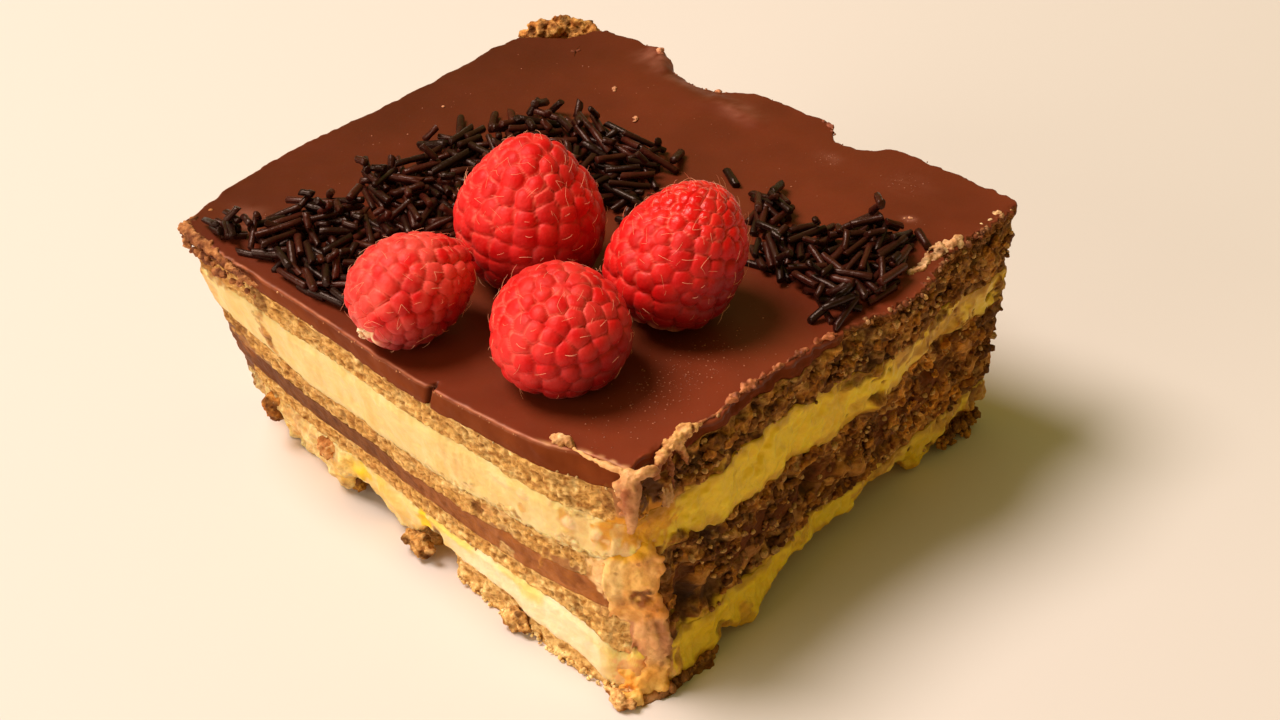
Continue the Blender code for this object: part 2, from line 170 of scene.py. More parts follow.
def closed_line(corners, bows, chip=False, width=1.1):
    u = np.arange(FINE) * 4.0 / FINE
    side = u.astype(int)
    s = u - side
    a = corners[side]
    d = corners[(side + 1) % 4] - a
    normal = np.stack([d[:, 1], -d[:, 0]], 1) / np.linalg.norm(d, axis=1)[:, None]
    bow = np.zeros(FINE)
    for k in range(4):
        m = side == k
        bow[m] = np.interp(s[m], [p[0] for p in bows[k]], [p[1] for p in bows[k]])
    line = a + d * s[:, None] + normal * bow[:, None]
    if chip:
        m = (u > CHIP_FROM) & (u < CHIP_TO)
        w = (u[m] - CHIP_FROM) / (CHIP_TO - CHIP_FROM) * (len(CHIP_LINE) - 1)
        line[m] = np.stack([np.interp(w, range(len(CHIP_LINE)), CHIP_LINE[:, c]) for c in (0, 1)], 1)
    return rounded(line, width)


ROUND = .8
TOP_LINE = closed_line(CORNERS_TOP, BOW_TOP, width=ROUND)
GLAZE_LINE = closed_line(CORNERS_TOP, BOW_TOP, chip=True, width=ROUND)
FOOT_LINE = closed_line(CORNERS_FOOT, BOW_FOOT, width=ROUND)
TOP_WIDE = closed_line(CORNERS_TOP, BOW_TOP, width=7.0)
FOOT_WIDE = closed_line(CORNERS_FOOT, BOW_FOOT, width=7.0)


def sample(line, u):
    g = np.arange(FINE) * 4.0 / FINE
    return np.stack([np.interp(np.asarray(u) % 4.0, g, line[:, c], period=4.0) for c in (0, 1)], -1)


def around(u, centre):
    return np.abs((u - centre + 2.0) % 4.0 - 2.0)


def seam(k, x, y):
    if k == 0:
        return np.zeros_like(x)
    if k == 8:
        return np.full_like(x, HEIGHT)
    front = np.interp(x, STATIONS, SEAMS_FRONT[k])
    right = np.interp(y, STATIONS, SEAMS_RIGHT[k])
    mean = SEAM_MEAN[k]
    left = SEAMS_FRONT[k][0] + (mean - SEAMS_FRONT[k][0]) * (y + 40) / 80 + .25 * np.sin(y / 9.0 + k)
    back = SEAMS_RIGHT[k][4] + (mean - SEAMS_RIGHT[k][4]) * (40 - x) / 80 + .25 * np.sin(x / 8.0 + 2 * k)
    z = 0.0
    total = 0.0
    for value, distance in ((front, y + 42), (right, 42 - x), (back, 42 - y), (left, x + 42)):
        w = 1.0 / np.maximum(distance, 1.5) ** 2
        z = z + w * value
        total = total + w
    return z / total


# ------------------------------------------------------------------ columns of the cut faces
COUNTS = (350, 350, 170, 170)
UC = np.concatenate([k + np.arange(n) / n for k, n in enumerate(COUNTS)])
NC = len(UC)


def bump_up(x, lo, hi, soft):
    return smooth_step((x - lo) / soft + .5) * smooth_step((hi - x) / soft + .5)


FRONT_W = smooth_step((UC + .02) / .03) * smooth_step((1.005 - UC) / .02)
RIGHT_W = smooth_step((UC - .985) / .03) * smooth_step((2.01 - UC) / .03)
HIDDEN_W = 1 - FRONT_W - RIGHT_W


def face_point(u, z, off=0.0, glaze=False, wide=False):
    """point of a cut face at place u and height z, pushed outwards by off"""
    z = np.asarray(z, float)
    u = np.broadcast_to(u, z.shape)
    t = np.clip(z / HEIGHT, 0, 1)[..., None]
    top = GLAZE_LINE if glaze else TOP_LINE
    p = sample(FOOT_LINE, u) * (1 - t) + sample(top, u) * t
    a, b, e = (FOOT_WIDE, TOP_WIDE, .01) if wide else (FOOT_LINE, top, .012)
    d = (sample(a, u + e) - sample(a, u - e)) * (1 - t) + (sample(b, u + e) - sample(b, u - e)) * t
    n = np.stack([d[..., 1], -d[..., 0]], -1)
    n /= np.linalg.norm(n, axis=-1)[..., None]
    push = np.asarray(off, float) + np.zeros(z.shape)
    for place, half, depth in BACK_DENTS:
        push = push - depth * np.exp(-(around(u, place) / half) ** 4) * smooth_step((t[..., 0] - .70) / .2)
    p = p + n * push[..., None]
    return np.concatenate([p, z[..., None]], -1)


def gauss(a, b):
    return np.exp(-(a * a + b * b))


def common(p, u):
    """unevenness that the layers share, so that they meet along one surface"""
    front = smooth_step((u + .02) / .03) * smooth_step((1.005 - u) / .02)
    right = smooth_step((u - .985) / .03) * smooth_step((2.01 - u) / .03)
    rest = 1 - front - right
    a = fbm(p, 7.0, 2, 3)
    b = fbm(p, 2.3, 3, 5)
    c = fbm(p * [1, 1, .35], 3.0, 2, 9)
    d = front * (.16 * a + .10 * b + .05 * c) + right * (.55 * a + .50 * b) + rest * (.35 * a + .25 * b)
    x, y, z = p[..., 0], p[..., 1], p[..., 2]
    d = d - right * (2.4 * gauss((y + 3.2) / 2.0, (z - 15.0) / 2.0) + 1.6 * gauss((y + 32.5) / 1.6, (z - 11.5) / 3.8)
                     + 1.0 * gauss((y + 36.8) / 1.6, (z - 33) / 3.0))
    d = d + right * (.9 * gauss((y - 6) / 3.0, (z - 12.8) / 2.2) + .7 * gauss((y - 10.5) / 2.0, (z - 23) / 1.6))
    return d


SEAM_Z = {}
for k in range(9):
    z = np.full(NC, HEIGHT if k == 8 else SEAM_MEAN.get(k, 0.0))
    for _ in range(3):
        p = face_point(UC, z, 0.0, wide=False)
        z = seam(k, p[:, 0], p[:, 1])
    if 0 < k < 8:
        q = np.column_stack([p[:, 0], p[:, 1], np.full(NC, 40.0 * k)])
        ragged = FRONT_W * (.20 * noise(q, 3.0, 31) + .16 * noise(q, .9, 37)) \
            + RIGHT_W * (.75 * noise(q, 4.2, 31) + .30 * noise(q, 1.3, 37)) \
            + HIDDEN_W * (.4 * noise(q, 4.0, 31) + .25 * noise(q, 1.3, 37))
        z = z + ragged
        if k == 2:
            z = z - 2.4 * FRONT_W * smooth_step((p[:, 0] - 31) / 9)
        if k == 7:
            z = z + RIGHT_W * 1.1 * smooth_step((p[:, 1] + 38) / 5) * smooth_step((16 - p[:, 1]) / 8)
    SEAM_Z[k] = z

EDGE_X = [-44, -38, -30, -24, -19, -16.5, -13.8, -11.2, -9, -6, -2.2, 1.0, 3.8, 6.2, 10, 15, 20, 22, 25, 30, 33.5, 36, 38.6, 40.5, 44.2]
EDGE_Z = [1.2, .5, .2, .05, .4, 1.8, 5.0, 4.0, .9, 1.0, 2.2, 6.2, 6.6, 5.2, 5.4, 5.6, 5.6, 3.8, 4.2, 3.8, 3.0, 2.2, 1.2, .8, .8]
EDGE_Y = [-42, -36, -33, -30, -26.5, -24.6, -23, -20.2, -18.4, -16, -12, -10, -5, 0, 3, 8, 12, 18, 20.6, 23, 25.3, 27, 30, 34, 37, 40, 43]
EDGE_YZ = [2.2, 1.6, 1.4, 1.1, .9, 3.3, 2.8, .5, 1.0, 2.5, 3.3, 4.6, 4.2, 3.8, 3.1, 3.8, 4.6, 4.6, 4.1, .9, .5, 2.5, 4.5, 5.3, 4.1, 4.9, 4.1]
_p = face_point(UC, np.full(NC, 3.0))
EDGE = np.interp(_p[:, 0], EDGE_X, EDGE_Z) * FRONT_W + np.interp(_p[:, 1], EDGE_Y, EDGE_YZ) * RIGHT_W + 3.4 * HIDDEN_W
_q = np.column_stack([_p[:, 0], _p[:, 1], np.full(NC, 7.0)])
EDGE = np.maximum(EDGE + (.30 * noise(_q, 2.0, 41) + .20 * noise(_q, .8, 43)) * (1 + .5 * HIDDEN_W), 0.02)


# ------------------------------------------------------------------ mesh helpers
def place(points):
    return (np.asarray(points, float) - MIDDLE) * .001


def make(name, points, faces, tint=None, extra=None, smooth=True, materials=()):
    """mesh object from millimetre points, with a colour at each point"""
    mesh = bpy.data.meshes.new(name)
    quads = np.asarray(faces, dtype=np.int32) if not isinstance(faces, list) else None
    pts = place(points)
    if quads is not None:
        n, k = quads.shape
        mesh.vertices.add(len(pts))
        mesh.vertices.foreach_set("co", pts.ravel())
        mesh.loops.add(n * k)
        mesh.loops.foreach_set("vertex_index", quads.ravel())
        mesh.polygons.add(n)
        mesh.polygons.foreach_set("loop_start", np.arange(0, n * k, k, dtype=np.int32))
        mesh.update(calc_edges=True)
    else:
        mesh.from_pydata([tuple(p) for p in pts], [], faces)
    mesh.validate()
    mesh.polygons.foreach_set("use_smooth", [smooth] * len(mesh.polygons))
    if tint is not None:
        a = mesh.attributes.new("tint", "FLOAT_COLOR", "POINT")
        rgba = np.ones((len(pts), 4))
        rgba[:, :3] = tint
        a.data.foreach_set("color", rgba.ravel())
    for key, values in (extra or {}).items():
        a = mesh.attributes.new(key, "FLOAT", "POINT")
        a.data.foreach_set("value", np.broadcast_to(values, len(pts)).astype(float).ravel())
    for m in materials:
        mesh.materials.append(m)
    ob = bpy.data.objects.new(name, mesh)
    bpy.context.scene.collection.objects.link(ob)
    return ob


def grid_faces(rows, cols, wrap=True):
    i = np.arange(rows - 1)[:, None] * cols
    j = np.arange(cols if wrap else cols - 1)[None, :]
    k = (j + 1) % cols
    return np.stack([i + j, i + k, i + cols + k, i + cols + j], -1).reshape(-1, 4)


def tris(quads):
    q = np.asarray(quads)
    return np.concatenate([q[:, [0, 1, 2]], q[:, [0, 2, 3]]])


def ball(levels):
    bm = bmesh.new()
    bmesh.ops.create_icosphere(bm, subdivisions=levels, radius=1.0)
    pts = np.array([v.co[:] for v in bm.verts])
    faces = np.array([[v.index for v in f.verts] for f in bm.faces])
    bm.free()
    return pts, faces


BALLS = {n: ball(n) for n in (1, 2, 3, 4)}


def rotations(rng, n):
    q = rng.normal(size=(n, 4))
    q /= np.linalg.norm(q, axis=1)[:, None]
    w, x, y, z = q.T
    return np.stack([1 - 2 * (y * y + z * z), 2 * (x * y - z * w), 2 * (x * z + y * w),
                     2 * (x * y + z * w), 1 - 2 * (x * x + z * z), 2 * (y * z - x * w),
                     2 * (x * z - y * w), 2 * (y * z + x * w), 1 - 2 * (x * x + y * y)], 1).reshape(-1, 3, 3)


class Heap:
    """many small solids joined in one mesh"""

    def __init__(self):
        self.points, self.faces, self.tints, self.count = [], [], [], 0

    def add(self, points, faces, tint):
        self.points.append(points)
        self.faces.append(np.asarray(faces) + self.count)
        self.tints.append(np.broadcast_to(tint, (len(points), 3)))
        self.count += len(points)

    def build(self, name, materials, smooth=True, grain=None):
        extra = None if grain is None else {"grain": np.full(self.count, float(grain))}
        return make(name, np.vstack(self.points), np.vstack(self.faces), np.vstack(self.tints), extra=extra, smooth=smooth,
                    materials=materials)


def crumb(heap, rng, centre, size, tint, levels=2, rough=.30, squash=(1, 1, 1)):
    pts, faces = BALLS[levels]
    shape = pts * np.array(squash) * rng.uniform(.75, 1.25, 3)
    off = rng.uniform(-99, 99, 3)
    grow = 1 + rough * noise(pts + off, .8, 3) + rough * .7 * noise(pts + off, .35, 4)
    if levels >= 4:
        grow = grow + rough * .5 * fbm(pts + off, .22, 2, 6)
    shape = shape * grow[:, None]
    turn = rotations(rng, 1)[0] if squash == (1, 1, 1) else np.eye(3)
    shade = 1 + .40 * noise(pts + off, .5, 8)
    heap.add(shape @ turn.T * size + np.array(centre), faces, np.clip(np.asarray(tint) * shade[:, None], 0, 1))


def wear(piece, nodes=()):
    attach(piece, "root")
    if nodes:
        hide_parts(*nodes)
    PIECES.append(piece)
    return piece


# ------------------------------------------------------------------ materials
def new_material(name):
    m = bpy.data.materials.new(name)
    m.use_nodes = True
    nt = m.node_tree
    return m, nt, nt.nodes["Principled BSDF"]


def tex(nt, kind, scale, **inputs):
    """noise or Voronoi in object space; scale is features per metre"""
    coords = nt.nodes.new("ShaderNodeTexCoord").outputs["Object"]
    t = nt.nodes.new(kind)
    t.inputs["Scale"].default_value = scale
    for key, value in inputs.items():
        if key == "feature":
            t.feature = value
        elif key == "flat":
            stretch = nt.nodes.new("ShaderNodeMapping")
            stretch.inputs["Scale"].default_value = (1.0, 1.0, value)
            nt.links.new(coords, stretch.inputs["Vector"])
            coords = stretch.outputs["Vector"]
        else:
            t.inputs[key].default_value = value
    nt.links.new(coords, t.inputs["Vector"])
    return t


def ramp(nt, source, stops):
    r = nt.nodes.new("ShaderNodeValToRGB")
    while len(r.color_ramp.elements) < len(stops):
        r.color_ramp.elements.new(.5)
    for e, (pos, c) in zip(r.color_ramp.elements, stops):
        e.position = pos
        e.color = (*c, 1) if len(c) == 3 else c
    nt.links.new(source, r.inputs["Fac"])
    return r.outputs["Color"]


def mix(nt, a, b, factor, mode="MIX"):
    m = nt.nodes.new("ShaderNodeMix")
    m.data_type = "RGBA"
    m.blend_type = mode
    m.clamp_result = False
    for value, socket in ((factor, m.inputs[0]), (a, m.inputs[6]), (b, m.inputs[7])):
        if isinstance(value, bpy.types.NodeSocket):
            nt.links.new(value, socket)
        elif isinstance(value, (int, float)):
            socket.default_value = value
        else:
            socket.default_value = (*value, 1)
    return m.outputs[2]


def maths(nt, op, a, b=None, c=None):
    m = nt.nodes.new("ShaderNodeMath")
    m.operation = op
    for value, socket in zip((a, b, c), m.inputs):
        if value is None:
            continue
        if isinstance(value, bpy.types.NodeSocket):
            nt.links.new(value, socket)
        else:
            socket.default_value = value
    return m.outputs[0]


def spread(nt, value, lo, hi, to_lo=0.0, to_hi=1.0):
    m = nt.nodes.new("ShaderNodeMapRange")
    m.inputs[1].default_value, m.inputs[2].default_value = lo, hi
    m.inputs[3].default_value, m.inputs[4].default_value = to_lo, to_hi
    nt.links.new(value, m.inputs[0])
    return m.outputs[0]


def attribute(nt, name):
    a = nt.nodes.new("ShaderNodeAttribute")
    a.attribute_name = name
    return a


def bump(nt, shader, height, distance, strength=1.0):
    b = nt.nodes.new("ShaderNodeBump")
    b.inputs["Distance"].default_value = distance
    b.inputs["Strength"].default_value = strength
    nt.links.new(height, b.inputs["Height"])
    nt.links.new(b.outputs["Normal"], shader.inputs["Normal"])


def food_material(name, scatter, reach, smooth_rough, specular=.35):
    """tint and grain come from the mesh: grain 1 is open crumb, 0 is smooth cream"""
    m, nt, s = new_material(name)
    tint = attribute(nt, "tint").outputs["Color"]
    grain = attribute(nt, "grain").outputs["Fac"]
    fine = tex(nt, "ShaderNodeTexNoise", 950, Detail=5.0, Roughness=.64, flat=1.3)
    coarse = tex(nt, "ShaderNodeTexNoise", 520, Detail=3.0, Roughness=.6, flat=1.3)
    pores = tex(nt, "ShaderNodeTexVoronoi", 980, feature="SMOOTH_F1", flat=1.5)
    shade = ramp(nt, fine.outputs["Fac"], [(.34, (.50, .36, .20)), (.44, (.84, .76, .62)), (.54, (1.08, 1.06, 1.00)), (.68, (1.30, 1.45, 1.55))])
    holes = ramp(nt, pores.outputs["Distance"], [(.10, (1.14, 1.18, 1.20)), (.45, (.98, .96, .92)), (.75, (.62, .48, .34))])
    blot = ramp(nt, coarse.outputs["Fac"], [(.34, (.84, .78, .70)), (.52, (1.0, 1.0, 1.0)), (.68, (1.10, 1.14, 1.18))])
    rough_c = mix(nt, mix(nt, shade, holes, 1.0, "MULTIPLY"), blot, .8, "MULTIPLY")
    veil = ramp(nt, coarse.outputs["Fac"], [(.30, (.95, .92, .86)), (.5, (1.0, 1.0, 1.0)), (.72, (1.04, 1.05, 1.08))])
    c = mix(nt, tint, mix(nt, veil, rough_c, grain), 1.0, "MULTIPLY")
    nt.links.new(c, s.inputs["Base Color"])
    s.inputs["Specular IOR Level"].default_value = specular
    s.inputs["Subsurface Weight"].default_value = scatter
    s.inputs["Subsurface Scale"].default_value = reach
    s.inputs["Subsurface Radius"].default_value = (1.0, .58, .25)
    gloss = spread(nt, coarse.outputs["Fac"], .3, .7, smooth_rough - .08, smooth_rough + .08)
    nt.links.new(maths(nt, "ADD", gloss, maths(nt, "MULTIPLY", grain, .32)), s.inputs["Roughness"])
    crumbs = maths(nt, "SUBTRACT", fine.outputs["Fac"], maths(nt, "MULTIPLY", pores.outputs["Distance"], .5))
    waves = maths(nt, "ADD", maths(nt, "MULTIPLY", coarse.outputs["Fac"], .55), maths(nt, "MULTIPLY", fine.outputs["Fac"], .10))
    crumbs = maths(nt, "MULTIPLY", crumbs, grain)
    bump(nt, s, maths(nt, "ADD", crumbs, waves), .00070, .9)
    return m


def glaze_material(name, specular, smooth_rough):
    m, nt, s = new_material(name)
    tint = attribute(nt, "tint").outputs["Color"]
    broad = tex(nt, "ShaderNodeTexNoise", 45, Detail=3.0, Roughness=.55)
    wide = tex(nt, "ShaderNodeTexNoise", 380, Detail=4.0, Roughness=.6)
    fine = tex(nt, "ShaderNodeTexNoise", 2600, Detail=2.0, Roughness=.6)
    specks = tex(nt, "ShaderNodeTexVoronoi", 330, feature="F1")
    grain = attribute(nt, "grain").outputs["Fac"]
    veil = ramp(nt, broad.outputs["Fac"], [(.30, (.88, .86, .84)), (.5, (1.0, 1.0, 1.0)), (.72, (1.12, 1.13, 1.15))])
    c = mix(nt, tint, veil, 1.0, "MULTIPLY")
    shade = ramp(nt, fine.outputs["Fac"], [(.34, (.42, .32, .22)), (.45, (.78, .70, .60)), (.55, (1.06, 1.04, 1.0)), (.68, (1.5, 1.66, 1.85))])
    c = mix(nt, c, mix(nt, (1.0, 1.0, 1.0), shade, grain), 1.0, "MULTIPLY")
    dot = spread(nt, specks.outputs["Distance"], .025, .045, 1.0, 0.0)
    c = mix(nt, c, tuple(colour(170, 92, 62)), maths(nt, "MULTIPLY", dot, .22))
    nt.links.new(c, s.inputs["Base Color"])
    nt.links.new(maths(nt, "ADD", spread(nt, wide.outputs["Fac"], .3, .7, smooth_rough - .06, smooth_rough + .06), maths(nt, "MULTIPLY", grain, .35)), s.inputs["Roughness"])
    s.inputs["Specular IOR Level"].default_value = specular
    s.inputs["Subsurface Weight"].default_value = .05
    s.inputs["Subsurface Scale"].default_value = .001
    h = maths(nt, "ADD", maths(nt, "MULTIPLY", broad.outputs["Fac"], 3.0), maths(nt, "MULTIPLY", wide.outputs["Fac"], .22))
    h = maths(nt, "ADD", h, maths(nt, "MULTIPLY", fine.outputs["Fac"], maths(nt, "ADD", .10, maths(nt, "MULTIPLY", grain, 1.2))))
    bump(nt, s, h, .0003, .5)
    return m


def berry_material():
    m, nt, s = new_material("raspberry_skin")
    tint = attribute(nt, "tint").outputs["Color"]
    fine = tex(nt, "ShaderNodeTexNoise", 1700, Detail=3.0, Roughness=.6)
    wide = tex(nt, "ShaderNodeTexNoise", 300, Detail=3.0, Roughness=.55)
    veil = ramp(nt, wide.outputs["Fac"], [(.30, (.88, .72, .74)), (.5, (1.0, 1.0, 1.0)), (.72, (1.06, 1.25, 1.2))])
    c = mix(nt, tint, veil, 1.0, "MULTIPLY")
    nt.links.new(c, s.inputs["Base Color"])
    s.inputs["Subsurface Weight"].default_value = .14
    s.inputs["Subsurface Scale"].default_value = .0012
    s.inputs["Subsurface Radius"].default_value = (1.0, .16, .12)
    wet = attribute(nt, "wet").outputs["Fac"]
    rough = maths(nt, "SUBTRACT", spread(nt, fine.outputs["Fac"], .3, .7, .46, .60), maths(nt, "MULTIPLY", wet, .30))
    nt.links.new(rough, s.inputs["Roughness"])
    s.inputs["Specular IOR Level"].default_value = .24
    s.inputs["Sheen Weight"].default_value = .07
    s.inputs["Sheen Roughness"].default_value = .35
    s.inputs["Sheen Tint"].default_value = (1.0, .55, .50, 1)
    bump(nt, s, fine.outputs["Fac"], .00020, .5)
    return m


def plain_material(name, roughness, fine_scale, depth, subsurface=0.0, specular=.5, var=.2, shine=(1.0, 1.0, 1.0)):
    m, nt, s = new_material(name)
    fine = tex(nt, "ShaderNodeTexNoise", fine_scale, Detail=3.0, Roughness=.6)
    veil = ramp(nt, fine.outputs["Fac"], [(.28, (1 - var,) * 3), (.5, (1.0, 1.0, 1.0)), (.72, (1 + var,) * 3)])
    nt.links.new(mix(nt, attribute(nt, "tint").outputs["Color"], veil, 1.0, "MULTIPLY"), s.inputs["Base Color"])
    nt.links.new(spread(nt, fine.outputs["Fac"], .3, .7, roughness - .07, roughness + .07), s.inputs["Roughness"])
    s.inputs["Specular IOR Level"].default_value = specular
    s.inputs["Specular Tint"].default_value = (*shine, 1.0)
    if subsurface:
        s.inputs["Subsurface Weight"].default_value = subsurface
        s.inputs["Subsurface Scale"].default_value = .0015
        s.inputs["Subsurface Radius"].default_value = (1.0, .5, .3)
    bump(nt, s, fine.outputs["Fac"], depth, .7)
    return m


BISCUIT = food_material("biscuit_crumb", .10, .0010, .50, .22)
CUSTARD = food_material("custard_cream", .40, .0020, .46, .30)
CREAM = food_material("chocolate_cream", .12, .0010, .56, .10)
GLAZE = glaze_material("chocolate_glaze", .17, .42)
GLAZE_SIDE = glaze_material("chocolate_glaze_cut", .05, .62)
SMEAR = food_material("dragged_cream", .14, .0009, .46, .28)
BERRY = berry_material()
SPRINKLE = plain_material("chocolate_strand", .32, 2400, .00010, specular=.30, var=.3, shine=(1.0, .74, .64))
CRUMB = plain_material("loose_crumb", .75, 2300, .00045, subsurface=.08, specular=.2, var=.5)
HAIR = plain_material("berry_hair", .5, 1200, .00002, var=.1)
DEW = plain_material("glaze_bubble", .35, 1500, .00003, var=.15)

# colours under the light of the scene
TAN = colour(232, 178, 106)
TAN_LIGHT = colour(250, 214, 152)
TAN_DARK = colour(166, 108, 54)
BROWN = colour(112, 68, 32)
# painted shade: near black brown laid into the pits and hollows of the crumb
PIT_PAINTED_SHADE = colour(62, 34, 14)
YOLK = colour(238, 207, 136)
YOLK_PALE = colour(244, 216, 160)
YOLK_DEEP = colour(232, 182, 82)
# painted shade: custard tint for the shaded right side, a deep yellow without blue
YOLK_PAINTED_SHADE = colour(252, 204, 26)
# painted shade: tan for biscuit on the right side, which points away from the lights
TAN_PAINTED_SHADE = colour(188, 120, 42)
BROWN_DEEP = colour(100, 56, 16)
COCOA = colour(108, 52, 10)
COCOA_LIGHT = colour(168, 98, 42)
GLAZE_RED = np.array([.146, .0236, .0080])
PEACH = colour(226, 164, 112)
PEACH_LIGHT = colour(244, 196, 146)
# painted shade: olive yellow for custard lying in shade, in hollows and on the right side
YOLK_PAINTED_DEEP_SHADE = colour(226, 180, 20)
LOOKS = {
    # colours to blend, and how open the crumb is
    # the dark look paints shade into torn pits
    "crumb": (TAN, TAN_LIGHT, 1.0), "bran": (TAN_DARK, BROWN, 1.0), "dark": (PIT_PAINTED_SHADE, BROWN, .5),
    "peach": (colour(240, 182, 120), colour(252, 208, 150), .15), "pale": (PEACH_LIGHT, colour(250, 214, 172), .10),
    "mauve": (COCOA_LIGHT, colour(134, 74, 34), .12), "cocoa": (COCOA, COCOA * .75, .10),
    "yolk": (YOLK, YOLK_DEEP, .0), "orange": (colour(226, 150, 66), colour(206, 124, 52), .15),
    # the olive yellow look paints custard lying in shade
    "custard_in_painted_shade": (YOLK_PAINTED_DEEP_SHADE, YOLK_PAINTED_SHADE, .0), "smoke": (colour(92, 48, 20), colour(120, 72, 34), .15), "gold": (colour(212, 132, 6), colour(232, 160, 20), .0), "foot": (colour(246, 190, 130), colour(234, 154, 88), .10), "tan": (colour(212, 146, 74), colour(184, 118, 50), .45),
}


def F(x, z, rx, rz, look, k=1.0, push=0.0, turn=0.0):
    return ("front", x, z, rx, rz, look, k, push, turn)


def R(y, z, ry, rz, look, k=1.0, push=0.0, turn=0.0):
    return ("right", y, z, ry, rz, look, k, push, turn)


def C(x, y, z, rp, rz, look, k=1.0, push=0.0, turn=0.0):
    return ("corner", (x, y), z, rp, rz, look, k, push, turn)
